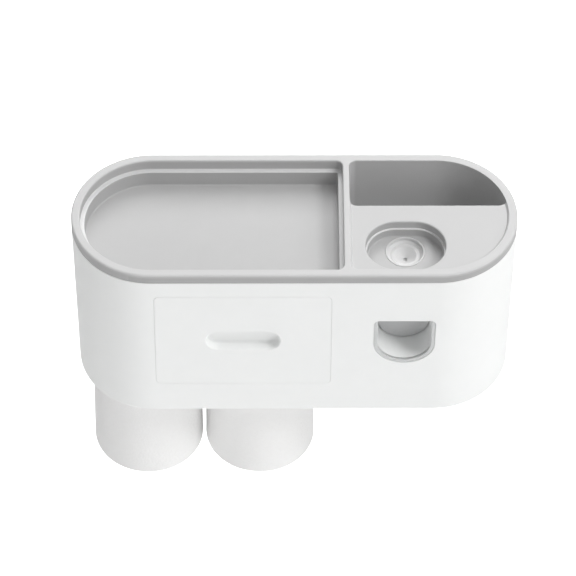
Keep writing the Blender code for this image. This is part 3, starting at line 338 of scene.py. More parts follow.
def rod(name, radius, start, end, sides):
    """Round bar between two places."""
    start = Vector(start)
    end = Vector(end)
    length = (end - start).length
    shape = bmesh.new()
    bmesh.ops.create_cone(shape, cap_ends=True, segments=sides, radius1=radius, radius2=radius, depth=length)
    turn = (end - start).to_track_quat("Z", "Y").to_matrix().to_4x4()
    shape.transform(Matrix.Translation((start + end) / 2) @ turn)
    return closed(shape, name)


def shape_by(obj, operation, tools):
    """Adds or cuts the tools one after the other and keeps the result as a plain mesh."""
    for tool in tools:
        modifier = obj.modifiers.new(tool.name, "BOOLEAN")
        modifier.operation = operation
        modifier.solver = "EXACT"
        modifier.object = tool
    mesh = bpy.data.meshes.new_from_object(obj.evaluated_get(bpy.context.evaluated_depsgraph_get()))
    obj.modifiers.clear()
    mesh.name = obj.data.name
    obj.data = mesh
    for tool in tools:
        bpy.data.objects.remove(tool)


def add(obj, *tools):
    shape_by(obj, "UNION", tools)


def cut(obj, *tools):
    shape_by(obj, "DIFFERENCE", tools)


def smooth(obj, finish, sharp=32.0):
    """Gives a finished mesh its material and its smooth shading."""
    mesh = obj.data
    shape = bmesh.new()
    shape.from_mesh(mesh)
    bmesh.ops.remove_doubles(shape, verts=shape.verts, dist=2 * SEAM)
    bmesh.ops.dissolve_degenerate(shape, edges=shape.edges, dist=SEAM)
    bmesh.ops.holes_fill(shape, edges=[edge for edge in shape.edges if edge.is_boundary], sides=4)
    shape.to_mesh(mesh)
    shape.free()
    mesh.materials.clear()
    mesh.materials.append(finish.material)
    mesh.shade_smooth()
    mesh.set_sharp_from_angle(angle=radians(sharp))
    weights = obj.modifiers.new("even_shading", "WEIGHTED_NORMAL")
    weights.keep_sharp = True
    weights.weight = 100


def lean(obj):
    """Tilts a piece of the front face back, as the housing's draft does."""
    for vertex in obj.data.vertices:
        vertex.co.y += DRAFT * (BODY_TOP - vertex.co.z) / (BODY_TOP - BODY_LOW)
    return obj


white_abs = Finish("white_abs", (0.88, 0.89, 0.885), 0.42)
grain = white_abs.noise(scale=2600.0, detail=3.0, rough=0.6)
waves = white_abs.noise(scale=90.0, detail=2.0)
white_abs.set(**{
    "Base Color": white_abs.blend(waves, (0.872, 0.882, 0.877), (0.892, 0.900, 0.895)),
    "Roughness": grain * 0.12 + 0.50,
    "Specular IOR Level": 0.2,
})
white_abs.bump(grain + waves * 2.0, depth=0.00002, strength=0.5)

TOP_EDGE = 0.0004
TOP_STEPS = 3
FOOT_EDGE = 0.0025
FOOT_STEPS = 8
CAVITY_EDGE = 0.0017
CAVITY_STEPS = 4
floor_z = BODY_LOW + SHELL
shell_rings = []
for i in range(TOP_STEPS + 1):
    a = radians(90 - 90 * i / TOP_STEPS)
    z = BODY_TOP - (TOP_EDGE - TOP_EDGE * sin(a))
    shell_rings.append((drafted(TOP_EDGE - TOP_EDGE * cos(a), z), z))
for i in range(FOOT_STEPS + 1):
    a = radians(90 * i / FOOT_STEPS)
    z = BODY_LOW + FOOT_EDGE - FOOT_EDGE * sin(a)
    shell_rings.append((drafted(FOOT_EDGE - FOOT_EDGE * cos(a), z), z))
cavity_rings = [(drafted(SHELL, BODY_TOP), BODY_TOP + PAST)]
for i in range(CAVITY_STEPS + 1):
    a = radians(90 * i / CAVITY_STEPS)
    z = floor_z + CAVITY_EDGE - CAVITY_EDGE * sin(a)
    cavity_rings.append((drafted(SHELL + CAVITY_EDGE - CAVITY_EDGE * cos(a), z), z))
housing = loft("housing_shell", shell_rings)
cut(housing, loft("cavity", cavity_rings))

# The wall plate's pocket, with its backing wall and the two slots that hook on
BRACKET_LOW, BRACKET_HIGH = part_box("wall_bracket")
BACKING = 0.0020
HOOK_SPACING = 0.1000
HOOK_W = 0.0200
HOOK_STEM = 0.0040
SLOT_CORNER = 0.0008
UNHOOK_LIFT = 0.0090
PLATE_R = 0.0080
PLATE_T = 0.0020
pocket_half = BRACKET_HIGH.x + 2 * GAP
pocket_top = BRACKET_HIGH.z + 2 * GAP
pocket_low = BRACKET_LOW.z - UNHOOK_LIFT - 2 * GAP
pocket_y = BRACKET_HIGH.y - PLATE_T - GAP
backing = slab(
    "pocket_backing", box_outline(-pocket_half, pocket_half, pocket_low, pocket_top, PLATE_R, -BACKING),
    pocket_y - BACKING, BACK_Y - PAST,
)
plate_pocket = slab(
    "plate_pocket", box_outline(-pocket_half, pocket_half, pocket_low, pocket_top, PLATE_R), pocket_y, BACK_Y + PAST,
)
slot_half = HOOK_W / 2 + 3 * GAP
slot_top = HOOK_STEM + GAP
slot_low = -UNHOOK_LIFT - 2 * GAP
slots = [
    slab(
        f"hook_slot_{i}", box_outline(x - slot_half, x + slot_half, slot_low, slot_top, SLOT_CORNER),
        pocket_y - BACKING - PAST, pocket_y + PAST,
    )
    for i, x in enumerate((-HOOK_SPACING / 2, HOOK_SPACING / 2))
]
add(housing, backing)

# Guides that the drawer runs between, one each side, with a runner at the foot
DRAWER_LOW, DRAWER_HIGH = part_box("drawer_front")
BIN_LOW, BIN_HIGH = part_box("drawer_box")
DRAWER_X = (DRAWER_LOW.x + DRAWER_HIGH.x) / 2
DRAWER_W = DRAWER_HIGH.x - DRAWER_LOW.x
GUIDE_CLEAR = 0.0021
GUIDE_T = 0.0020
GUIDE_DROP = 0.0030
RUNNER_W = 0.0060
guide_face = DRAWER_W / 2 + GUIDE_CLEAR
runner_top = BIN_LOW.z - GAP
guide_top = BIN_HIGH.z - GUIDE_DROP
reach = SHELL - GAP
guides = []
for side in (-1, 1):
    face_x = DRAWER_X + side * guide_face
    back_x = face_x + side * GUIDE_T
    runner_x = face_x - side * RUNNER_W
    outline = [
        (back_x, floor_z - ROOT), (runner_x, floor_z - ROOT), (runner_x, runner_top), (face_x, runner_top),
        (face_x, guide_top), (back_x, guide_top),
    ]
    guides.append(slab(f"guide_{side}", outline, FRONT_Y + reach, BACK_Y - reach))
add(housing, *guides)
cut(housing, plate_pocket, *slots)

# Magnet bosses on the floor, over the shallow round seats that the tumblers' bases rest in
MAGNET_R = 0.0090
MAGNET_T = 0.0030
MAGNET_SIDES = 64
BOSS_T = 0.0022
ROOM_CLEAR = 0.0015
ROOM_H = 0.0160
SEAT_DEPTH = 0.0008
SEAT_CLEAR = 0.0008
SEAT_SIDES = 128
TUMBLER_BASE_R = 0.03625
boss_r = MAGNET_R + GAP + BOSS_T
boss_top = floor_z + MAGNET_T + GAP
seat_r = TUMBLER_BASE_R + SEAT_CLEAR
TUMBLER_XS = {}
for side in ("left", "right"):
    cup_low, cup_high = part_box(f"tumbler_{side}")
    x = (cup_low.x + cup_high.x) / 2
    room = rod("boss_room", boss_r + ROOM_CLEAR, (x, MIDDLE_Y, floor_z), (x, MIDDLE_Y, floor_z + ROOM_H), MAGNET_SIDES)
    boss = rod("boss", boss_r, (x, MIDDLE_Y, floor_z - ROOT), (x, MIDDLE_Y, boss_top), MAGNET_SIDES)
    hole = rod("magnet_hole", MAGNET_R + GAP, (x, MIDDLE_Y, floor_z), (x, MIDDLE_Y, boss_top + PAST), MAGNET_SIDES)
    seat = rod("tumbler_seat", seat_r, (x, MIDDLE_Y, BODY_LOW - PAST), (x, MIDDLE_Y, BODY_LOW + SEAT_DEPTH), SEAT_SIDES)
    cut(housing, room)
    add(housing, boss)
    cut(housing, hole, seat)
    TUMBLER_XS[side] = x

# The drawer's and the squeezer's openings in the front wall, each with a softened edge
DRAWER_CORNER = 0.0038
DRAWER_GAP = 0.00012
BEZEL_LOW, BEZEL_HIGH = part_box("dispenser_bezel")
BEZEL_CORNER = 0.0035
MOUTH_STEPS = 32
SQUEEZER_X = (BEZEL_LOW.x + BEZEL_HIGH.x) / 2
OPENING_EDGE = 0.00015
EDGE_STEPS = 4
RING_GAP = 0.00004
OUTSIDE = -0.01
OVER = 0.00002


def drawer_outline(inset):
    return oval(DRAWER_LOW.x, DRAWER_HIGH.x, DRAWER_LOW.z, DRAWER_HIGH.z, [DRAWER_CORNER] * 4, inset)


def bezel_outline(inset):
    half = (BEZEL_HIGH.x - BEZEL_LOW.x) / 2
    radii = [half, half, BEZEL_CORNER, BEZEL_CORNER]
    return oval(BEZEL_LOW.x, BEZEL_HIGH.x, BEZEL_LOW.z, BEZEL_HIGH.z, radii, inset, MOUTH_STEPS)


def rounded_path(corners, steps):
    """Path of (inset, depth) points through corners (inset, depth, radius), each corner rounded."""
    points = [tuple(corners[0][:2])]
    for before, (x, z, radius), after in zip(corners, corners[1:], corners[2:]):
        here = Vector((x, z))
        if radius == 0:
            points.append((x, z))
            continue
        to_before = (Vector(before[:2]) - here).normalized()
        to_after = (Vector(after[:2]) - here).normalized()
        half = to_before.angle(to_after) / 2
        centre = here + (to_before + to_after).normalized() * radius / sin(half)
        start = here + to_before * radius / tan(half) - centre
        end = here + to_after * radius / tan(half) - centre
        swing = start.angle_signed(end)
        for i in range(steps + 1):
            spoke = start.copy()
            spoke.rotate(Matrix.Rotation(-swing * i / steps, 2))
            points.append(tuple(centre + spoke))
    points.append(tuple(corners[-1][:2]))
    return points


def hollow(name, ring, corners, place, axis="Z", steps=ARC_STEPS):
    """Cutter with a rounded edge: it leaves the face just short of the round's tangent, to cross it cleanly."""
    path = rounded_path(corners, steps)[2:]
    face = corners[0][1]
    (x1, d1), slope = path[0], tan(radians(90 / steps))
    x0 = x1 - (d1 - face + OVER) / slope
    path = [(x0, face - PAST), (x0, face - OVER)] + path
    return loft(name, [(ring(inset), place(depth)) for inset, depth in path], axis)


def behind_front(depth):
    return FRONT_Y + depth


opening_path = [(OUTSIDE, 0, 0), (0, 0, OPENING_EDGE), (0, SHELL + DRAFT + ROOT, 0)]
drawer_opening = lean(hollow(
    "drawer_opening", lambda inset: drawer_outline(inset - DRAWER_GAP), opening_path, behind_front, "Y", EDGE_STEPS,
))
squeezer_opening = lean(hollow(
    "squeezer_opening", lambda inset: bezel_outline(inset - RING_GAP), opening_path, behind_front, "Y", EDGE_STEPS,
))
cut(housing, drawer_opening, squeezer_opening)

# Bosses behind the front wall for the squeezer's two screws
EAR_SIDE = 0.0280
EAR_DEPTH = 0.0600
EAR_T = 0.0030
SCREW_R = 0.0012
SCREW_L = 0.0080
SCREW_SIDES = 24
BOSS_L = 0.0060
BOSS_R = 0.0036
BOSS_SIDES = 40
ear_z = rim_z(EAR_DEPTH)
boss_back = FRONT_Y + SHELL + BOSS_L
pilot_end = boss_back - SCREW_L + EAR_T
for side in (-1, 1):
    x = SQUEEZER_X + side * EAR_SIDE
    boss = rod("fixing_boss", BOSS_R, (x, boss_back, ear_z), (x, FRONT_Y + SHELL - GAP, ear_z), BOSS_SIDES)
    pilot = rod("pilot", SCREW_R + GAP, (x, boss_back + PAST, ear_z), (x, pilot_end, ear_z), SCREW_SIDES)
    add(housing, boss)
    cut(housing, pilot)
smooth(housing, white_abs)
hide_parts("housing")
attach(housing, "housing")


# Storage tray: one light grey moulding, which drops into the housing's open top.
# Its rim and platform are smoother and painted lighter, as light falls on them from above, with painted highlights on
# the rim's rounded edges; the faces below, which have a fine grain, are painted darker as shade, the outer band most of
# all.
# It holds a stepped dish with a painted highlight on its ledge, a deep pocket behind a divider, painted lighter inside
# to lift its shade, and the stepped oval socket of the tube seat.
RIM_W = 0.0056
BAND = 0.0075
BAND_EDGE = 0.0003
RIM_ROUND = 0.0012
INNER_ROUND = 0.0009
CAP_INSET = 0.0020
TRAY_WALL = 0.0020
DISH_RIGHT = 0.0320
DISH_DEPTH = 0.0205
DISH_CORNER = 0.0045
DISH_FILLET = 0.0010
DISH_CAP = 0.0120
DISH_FOOT_ROUND = 0.0040
DISH_FOOT_CAP = 0.0100
LEDGE_W = 0.0030
LEDGE_DEPTH = 0.0085
LEDGE_EDGE = 0.0004
LEDGE_FILLET = 0.0006
DIVIDER_W = 0.0041
PLATFORM_DROP = 0.0020
PLATFORM_T = 0.0022
PLATFORM_LEAN = 0.0011
PLATFORM_EDGE = 0.0005
PLATFORM_CAP = 0.0030
POCKET_SETBACK = 0.0623
POCKET_DEPTH = 0.0520
POCKET_CORNER = 0.0050
POCKET_CORNER_STEPS = 13
POCKET_DRAFT = 0.0007
POCKET_FILLET = 0.0030
POCKET_CAP = 0.0080
POCKET_FOOT_ROUND = 0.0012
POCKET_FOOT_CAP = 0.0015
POCKET_LEAST = 0.00003
SLANT_R = 0.0070
SLANT_TURN = 48
SLANT_END = 315
SOCKET_L = 0.0520
SOCKET_W = 0.0404
SOCKET_SETBACK = 0.0276
SOCKET_ROUND = 0.0010
SOCKET_LEDGE_W = 0.0010
SOCKET_LEDGE_DEPTH = 0.0082
SOCKET_LEDGE_EDGE = 0.0003
SOCKET_DEPTH = 0.0150
SOCKET_FILLET = 0.0012
SOCKET_CAP = 0.0100
SOCKET_FOOT_ROUND = 0.0030
SOCKET_FOOT_CAP = 0.0040
SPINE = BODY_W / 2 - BODY_R
socket_y = FRONT_Y + SOCKET_SETBACK
platform_left = DISH_RIGHT + DIVIDER_W
inner_half = BODY_R - RIM_W


def dish_ring(inset, right=DISH_RIGHT):
    radii = [inner_half, DISH_CORNER, DISH_CORNER, inner_half]
    return oval(-BODY_W / 2 + RIM_W, right, MIDDLE_Y - inner_half, MIDDLE_Y + inner_half, radii, inset)


def platform_ring(inset):
    radii = [POCKET_CORNER, inner_half, inner_half, POCKET_CORNER]
    return oval(platform_left, BODY_W / 2 - RIM_W, MIDDLE_Y - inner_half, MIDDLE_Y + inner_half, radii, inset)


def socket_ring(inset):
    half_l = SOCKET_L / 2
    half_w = SOCKET_W / 2
    return oval(SQUEEZER_X - half_l, SQUEEZER_X + half_l, socket_y - half_w, socket_y + half_w, [half_w] * 4, inset)


def pocket_ring(inset, front_inset=None):
    """Outline of the deep pocket; its front edge may be drawn in by an amount of its own."""
    front_inset = inset if front_inset is None else front_inset
    radius = inner_half - inset
    left = platform_left + inset
    front = FRONT_Y + POCKET_SETBACK + front_inset
    corner = POCKET_CORNER
    slant_run = SLANT_R * sin(radians(SLANT_TURN))
    slant_rise = SLANT_R * (1 - cos(radians(SLANT_TURN)))
    end_angle = degrees(asin((front + slant_rise - MIDDLE_Y) / radius))
    points = []

    def swing(cx, cy, r, start, end, count):
        for i in range(count + 1):
            a = radians(start + (end - start) * i / count)
            points.append((cx + r * cos(a), cy + r * sin(a)))

    swing(SPINE, MIDDLE_Y, radius, end_angle, 90, ROUND_STEPS)
    last_x = points[0][0]
    swing(left + corner, MIDDLE_Y + radius - corner, corner, 90, 180, POCKET_CORNER_STEPS)
    swing(left + corner, front + corner, corner, 180, 270, POCKET_CORNER_STEPS)
    swing(last_x - slant_run, front + SLANT_R, SLANT_R, 270, SLANT_END, POCKET_CORNER_STEPS)
    return points


def tray_solid(name, ring, corners):
    return loft(name, [(ring(inset), rim_z(depth)) for inset, depth in rounded_path(corners, ARC_STEPS)])


# Depth below the rim to grey level, as painted light: a lighter rim with painted highlights on its rounded edges, a
# lighter platform, then painted shade on the grained faces below
EDGE_HIGHLIGHT_GREY = 0.56
PAINTED_LIGHT_GREYS = {0.0001: 0.495, 0.0003: EDGE_HIGHLIGHT_GREY, 0.0009: EDGE_HIGHLIGHT_GREY, 0.0012: 0.495, 0.0019: 0.470, 0.0024: 0.470, 0.0028: 0.440}
PAINTED_LIGHT_DEPTH_SCALE = 0.012
# Depth to which the pocket's inside keeps the rim's lighter grey: painted light that lifts its shade
POCKET_LIGHTENED_DEPTH = 0.0012
# Depths and grey of a painted highlight along the dish's ledge
LEDGE_HIGHLIGHT_DEPTHS = (0.0078, 0.0087)
LEDGE_HIGHLIGHT_GREY = 0.64
# Share of colour left on the rim's outer band: painted shade on that side face
BAND_PAINTED_SHADE = 0.92
MASK_MARGIN = 0.0010
GRAIN_BELOW = 0.0026
grey_abs = Finish("grey_abs", (0.46, 0.46, 0.46), 0.45)
at = grey_abs.add("ShaderNodeSeparateXYZ", {}, {"Vector": grey_abs.place})
below_rim = RIM_Z - at["Z"]
painted_light_stops = [(depth / PAINTED_LIGHT_DEPTH_SCALE, (grey,) * 3) for depth, grey in PAINTED_LIGHT_GREYS.items()]
round_x = (at["X"] - SPINE).at_least(0.0)
off_middle = at["Y"] - MIDDLE_Y
within_rim = 1 - (round_x * round_x + off_middle * off_middle).above((BODY_R - 2 * MASK_MARGIN) ** 2)
behind_wall = at["Y"].above(FRONT_Y + POCKET_SETBACK - MASK_MARGIN)
in_pocket = at["X"].above(platform_left - DIVIDER_W / 2) * behind_wall * within_rim
# Inside the pocket the grey stops at the rim's lighter level: painted light over the pocket's shade
painted_light_depth = below_rim * (1 - in_pocket) + below_rim.at_most(POCKET_LIGHTENED_DEPTH) * in_pocket
# Grey by depth below the rim: painted light, lighter on top and at the rounded edges, painted shade lower down
painted_light_greys = grey_abs.add("ShaderNodeValToRGB", {"stops": painted_light_stops}, {0: painted_light_depth * (1 / PAINTED_LIGHT_DEPTH_SCALE)})
# A painted highlight along the dish's ledge, where its edge would catch the light
ledge_highlight_mask = below_rim.above(LEDGE_HIGHLIGHT_DEPTHS[0]) * (1 - below_rim.above(LEDGE_HIGHLIGHT_DEPTHS[1])) * (1 - in_pocket)
grained = below_rim.above(GRAIN_BELOW)
# Painted shade darkens the rim's outer band, a side face that gets less light than the top
band_shade_mask = grained * (1 - within_rim)
faces = grey_abs.blend(ledge_highlight_mask, painted_light_greys, (LEDGE_HIGHLIGHT_GREY,) * 3)
shaded = grey_abs.blend(band_shade_mask, (1.0, 1.0, 1.0), (BAND_PAINTED_SHADE,) * 3)
speckle = grey_abs.noise(scale=1500.0, detail=4.0, rough=0.65)
clouds = grey_abs.noise(scale=60.0, detail=3.0)
grey_abs.set(**{
    "Base Color": grey_abs.blend(
        1.0, grey_abs.blend(1.0, faces, shaded, "MULTIPLY"),
        grey_abs.blend(clouds, (0.98, 0.98, 0.983), (1.02, 1.02, 1.02)), "MULTIPLY",
    ),
    "Roughness": speckle * 0.16 + 0.50,
    "Specular IOR Level": 0.2,
})
grey_abs.bump(speckle * (grained * 0.85 + 0.15), depth=0.00018, strength=0.8)

tray = tray_solid("tray", stadium, [
    (CAP_INSET, BAND, 0), (0, BAND, BAND_EDGE), (0, 0, RIM_ROUND), (CAP_INSET, 0, 0),
])
underside = loft("underside", [
    (platform_ring(0), rim_z(BAND + PAST)), (platform_ring(0), rim_z(PLATFORM_DROP + PLATFORM_T)),
])
cut(tray, underside)
dish_foot = DISH_DEPTH + TRAY_WALL
pocket_foot = POCKET_DEPTH + TRAY_WALL
socket_foot = SOCKET_DEPTH + TRAY_WALL
dish_tub = tray_solid("dish_tub", lambda inset: dish_ring(inset, DISH_RIGHT + GAP), [
    (-TRAY_WALL, BAND - ROOT, 0), (-TRAY_WALL, dish_foot, DISH_FOOT_ROUND), (DISH_FOOT_CAP, dish_foot, 0),
])
pocket_tub = tray_solid("pocket_tub", pocket_ring, [
    (-TRAY_WALL, PLATFORM_DROP + ROOT, 0), (-TRAY_WALL + POCKET_DRAFT, pocket_foot, POCKET_FOOT_ROUND),
    (POCKET_FOOT_CAP, pocket_foot, 0),
])
socket_tub = tray_solid("socket_tub", socket_ring, [
    (-TRAY_WALL, PLATFORM_DROP + ROOT, 0), (-TRAY_WALL, socket_foot, SOCKET_FOOT_ROUND),
    (SOCKET_FOOT_CAP, socket_foot, 0),
])
add(tray, dish_tub, pocket_tub, socket_tub)
dish = hollow("dish", dish_ring, [
    (OUTSIDE, 0, 0), (0, 0, INNER_ROUND), (0, LEDGE_DEPTH, LEDGE_EDGE), (LEDGE_W, LEDGE_DEPTH, LEDGE_FILLET),
    (LEDGE_W, DISH_DEPTH, DISH_FILLET), (DISH_CAP, DISH_DEPTH, 0),
], rim_z)
platform = hollow("platform", platform_ring, [
    (OUTSIDE, 0, 0), (0, 0, PLATFORM_EDGE), (PLATFORM_LEAN, PLATFORM_DROP, PLATFORM_EDGE),
    (PLATFORM_CAP, PLATFORM_DROP, 0),
], rim_z)
pocket = hollow("pocket", lambda inset: pocket_ring(max(inset, POCKET_LEAST), inset), [
    (OUTSIDE, PLATFORM_DROP, 0), (0, PLATFORM_DROP, INNER_ROUND), (0, POCKET_DEPTH, POCKET_FILLET),
    (POCKET_CAP, POCKET_DEPTH, 0),
], rim_z)
socket = hollow("socket", socket_ring, [
    (OUTSIDE, PLATFORM_DROP, 0), (0, PLATFORM_DROP, SOCKET_ROUND), (0, SOCKET_LEDGE_DEPTH, SOCKET_LEDGE_EDGE),
    (SOCKET_LEDGE_W, SOCKET_LEDGE_DEPTH, LEDGE_FILLET), (SOCKET_LEDGE_W, SOCKET_DEPTH, SOCKET_FILLET),
    (SOCKET_CAP, SOCKET_DEPTH, 0),
], rim_z)
SEAT_LOW, SEAT_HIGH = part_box("nozzle_seat")
COLLAR_R = (SEAT_HIGH.x - SEAT_LOW.x) / 2
CUP_CLEAR = 0.0001
CUP_SIDES = 96
seat_y = (SEAT_HIGH.y + SEAT_LOW.y) / 2
seat_hole = rod(
    "seat_hole", COLLAR_R + CUP_CLEAR, (SQUEEZER_X, seat_y, rim_z(socket_foot + PAST)),
    (SQUEEZER_X, seat_y, rim_z(SOCKET_DEPTH - SOCKET_FILLET)), CUP_SIDES,
)
cut(tray, dish, platform, pocket, socket, seat_hole)
smooth(tray, grey_abs)
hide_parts("storage_tray")
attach(tray, "tray")


# Tube seat: a turned cup of grey silicone that fills the hole in the socket's floor, with its lip just proud.
# The tube's neck is pushed into its funnel, and a hole leads on to the pump.
silicone = Finish("grey_silicone", (0.60, 0.60, 0.60), 0.50)
silicone.set(**{
    "Subsurface Weight": 0.15, "Subsurface Scale": 0.002, "Subsurface Radius": (1.0, 0.95, 0.9),
    "Specular IOR Level": 0.2,
})
dust = silicone.noise(scale=1500.0, detail=2.0)
silicone.set(Roughness=dust * 0.15 + 0.42)
silicone.bump(dust, depth=0.00003, strength=0.4)
TURNED_SHARP = 40.0
LIP_W = 0.0011
DISC_DROP = 0.0026
DISC_DISH = 0.0013
BEAD_R = 0.0007
BEAD_H = 0.0003
BEAD_SINK = 0.0001
BEAD_FILLET = 0.0005
FUNNEL_R = 0.0082
FUNNEL_DEPTH = 0.0041
FUNNEL_ROUND = 0.0006
FEED_R = 0.0014
FEED_EDGE = 0.0002
SEAT_FOOT_ROUND = 0.0004
LIP_FILLET = 0.0006
LIP_INNER_ROUND = 0.00045
LIP_OUTER_ROUND = 0.0006
lip_top = SEAT_HIGH.z
disc_z = lip_top - DISC_DROP
bead_z = disc_z - DISC_DISH
bead_top = bead_z + BEAD_H


def turned_piece(name, corners, x, y):
    """Turned piece from (radius, z, rounding) corners that run once round its section."""
    path = rounded_path(corners + corners[:2], ARC_STEPS)[1:-1]
    spokes = [2 * pi * i / CUP_SIDES for i in range(CUP_SIDES)]
    shape = bmesh.new()
    rings = [[shape.verts.new((x + r * cos(a), y + r * sin(a), z)) for a in spokes] for r, z in path]
    for low, high in zip(rings, rings[1:] + rings[:1]):
        for i in range(CUP_SIDES):
            shape.faces.new((low[i - 1], low[i], high[i], high[i - 1]))
    return closed(shape, name)


seat = turned_piece("tube_seat", [
    (COLLAR_R, SEAT_LOW.z, SEAT_FOOT_ROUND), (FEED_R, SEAT_LOW.z, FEED_EDGE),
    (FEED_R, bead_z - FUNNEL_DEPTH, FUNNEL_ROUND), (FUNNEL_R - BEAD_R, bead_top, BEAD_R),
    (FUNNEL_R + BEAD_R, bead_top, BEAD_R), (FUNNEL_R + 2 * BEAD_R, bead_z - BEAD_SINK, BEAD_FILLET),
    (COLLAR_R - LIP_W, disc_z, LIP_FILLET), (COLLAR_R - LIP_W, lip_top, LIP_INNER_ROUND),
    (COLLAR_R, lip_top, LIP_OUTER_ROUND),
], SQUEEZER_X, seat_y)
smooth(seat, silicone, TURNED_SHARP)
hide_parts("nozzle_seat")
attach(seat, "housing")


# Squeezer: a white ABS tunnel behind the mouth, screwed to bosses inside the housing's front wall.
# The pump's chamber, the seat's dish and the paste duct are moulded on its roof.
MOUTH_HALF = 0.01745
MOUTH_TOP = 0.0462
MOUTH_BOTTOM = 0.0869
TUNNEL_WALL = 0.0022
TUNNEL_CORNER = 0.0012
TUNNEL_EDGE = 0.0004
TUNNEL_SETBACK = 0.0038
TUNNEL_L = 0.0457
BEZEL_INSET = 0.0003
BEZEL_T = 0.0010
GROOVE_W = 0.0011
SPIGOT_CLEAR = 0.0005
roof_z = rim_z(MOUTH_TOP)
tunnel_front = FRONT_Y + TUNNEL_SETBACK
tunnel_back = tunnel_front + TUNNEL_L
spigot_front = FRONT_Y + BEZEL_INSET + BEZEL_T + GROOVE_W


def tunnel_ring(inset, raised=0.0):
    """Outline of the tunnel's inside, with its top raised where the bezel is open."""
    left = SQUEEZER_X - MOUTH_HALF
    radii = [MOUTH_HALF, MOUTH_HALF, TUNNEL_CORNER, TUNNEL_CORNER]
    return oval(left, SQUEEZER_X + MOUTH_HALF, rim_z(MOUTH_BOTTOM), roof_z + raised, radii, inset, MOUTH_STEPS)


tunnel = loft("squeezer_tunnel", [
    (tunnel_ring(inset - TUNNEL_WALL), tunnel_front + depth)
    for inset, depth in rounded_path([(CAP_INSET, 0, 0), (0, 0, TUNNEL_EDGE), (0, TUNNEL_L, 0)], EDGE_STEPS)
], "Y")
spigot = lean(slab("spigot", bezel_outline(SPIGOT_CLEAR), spigot_front, tunnel_front + ROOT))
PUMP_SETBACK = 0.0343
OUTLET_SETBACK = 0.0125
CHAMBER_R = 0.0070
CHAMBER_WALL = 0.0020
CHAMBER_OUTSIDE = 0.0242
CHAMBER_CEILING = 0.0262
CHAMBER_SIDES = 72
DISH_FLOOR = 0.0235
DISH_WALL = 0.0018
VALVE_R = 0.0046
VALVE_LOW = 0.0250
VALVE_HIGH = 0.0225
PIPE_SIDES = 48
DUCT_DEPTH = 0.0310
DUCT_HALF = 0.0038
DUCT_CORNER = 0.0010
DUCT_SINK = 0.0005
OUTLET_R = 0.0060
OUTLET_BORE_R = 0.0040
pump_y = FRONT_Y + PUMP_SETBACK
outlet_y = FRONT_Y + OUTLET_SETBACK
on_roof = roof_z + ROOT
under_roof = roof_z - ROOT
duct_z = rim_z(DUCT_DEPTH)
duct_top = duct_z + DUCT_HALF
duct_outline = box_outline(SQUEEZER_X - DUCT_HALF, SQUEEZER_X + DUCT_HALF, on_roof, duct_top, DUCT_CORNER)


def riser(name, radius, y, low, high, sides):
    """Upright round bar on the squeezer's middle line."""
    return rod(name, radius, (SQUEEZER_X, y, low), (SQUEEZER_X, y, high), sides)


add(
    tunnel, spigot,
    riser("chamber_wall", CHAMBER_R + CHAMBER_WALL, pump_y, on_roof, rim_z(CHAMBER_OUTSIDE), CHAMBER_SIDES),
    riser("seat_dish", COLLAR_R + GAP + DISH_WALL, seat_y, rim_z(DISH_FLOOR + DISH_WALL), rim_z(socket_foot) - 3 * GAP,
          CUP_SIDES),
    riser("inlet_pipe", VALVE_R + GAP + DISH_WALL, seat_y, on_roof, rim_z(DISH_FLOOR + ROOT), PIPE_SIDES),
    slab("duct_block", duct_outline, outlet_y - OUTLET_R, pump_y),
    riser("outlet_boss", OUTLET_R, outlet_y, on_roof, duct_top - DUCT_SINK, PIPE_SIDES),
)
EAR_R = 0.0042
EAR_CORNER = 0.0008
EAR_STEPS = 30
COVER_BOSS_R = 0.0032
ear_front = FRONT_Y + SHELL + BOSS_L + GAP
cover_boss_side = MOUTH_HALF + TUNNEL_WALL + COVER_BOSS_R - SCREW_R / 2
for side in (-1, 1):
    ear_x = SQUEEZER_X + side * EAR_SIDE
    ends = sorted((ear_x + side * EAR_R, SQUEEZER_X + side * (MOUTH_HALF + ROOT)))
    radii = [EAR_R, EAR_CORNER, EAR_CORNER, EAR_R] if side < 0 else [EAR_CORNER, EAR_R, EAR_R, EAR_CORNER]
    ear_outline = oval(*ends, ear_z - EAR_R, ear_z + EAR_R, radii, 0, EAR_STEPS)
    ear = slab(f"ear_{side}", ear_outline, ear_front, ear_front + EAR_T)
    x = SQUEEZER_X + side * cover_boss_side
    boss_end = tunnel_back - SCREW_L
    cover_boss = rod("cover_boss", COVER_BOSS_R, (x, tunnel_back, ear_z), (x, boss_end - PAST, ear_z), BOSS_SIDES)
    add(tunnel, ear, cover_boss)
    hole_ends = [(ear_x, y, ear_z) for y in (ear_front - PAST, ear_front + EAR_T + PAST)]
    cut(
        tunnel, rod("ear_hole", SCREW_R + GAP, *hole_ends, SCREW_SIDES),
        rod("pilot", SCREW_R + GAP, (x, tunnel_back + PAST, ear_z), (x, boss_end, ear_z), SCREW_SIDES),
    )
bore = loft("tunnel_bore", [(tunnel_ring(0), spigot_front - PAST), (tunnel_ring(0), tunnel_back + PAST)], "Y")
cut(
    tunnel, bore,
    riser("chamber", CHAMBER_R, pump_y, under_roof, rim_z(CHAMBER_CEILING), CHAMBER_SIDES),
    riser("dish_hollow", COLLAR_R + GAP, seat_y, rim_z(DISH_FLOOR), rim_z(SOCKET_DEPTH), CUP_SIDES),
    riser("valve_room", VALVE_R + GAP, seat_y, rim_z(VALVE_LOW), rim_z(VALVE_HIGH), PIPE_SIDES),
    riser("outlet_bore", OUTLET_BORE_R, outlet_y, under_roof, duct_z, PIPE_SIDES),
)
smooth(tunnel, white_abs)
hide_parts("squeezer_body")
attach(tunnel, "housing")


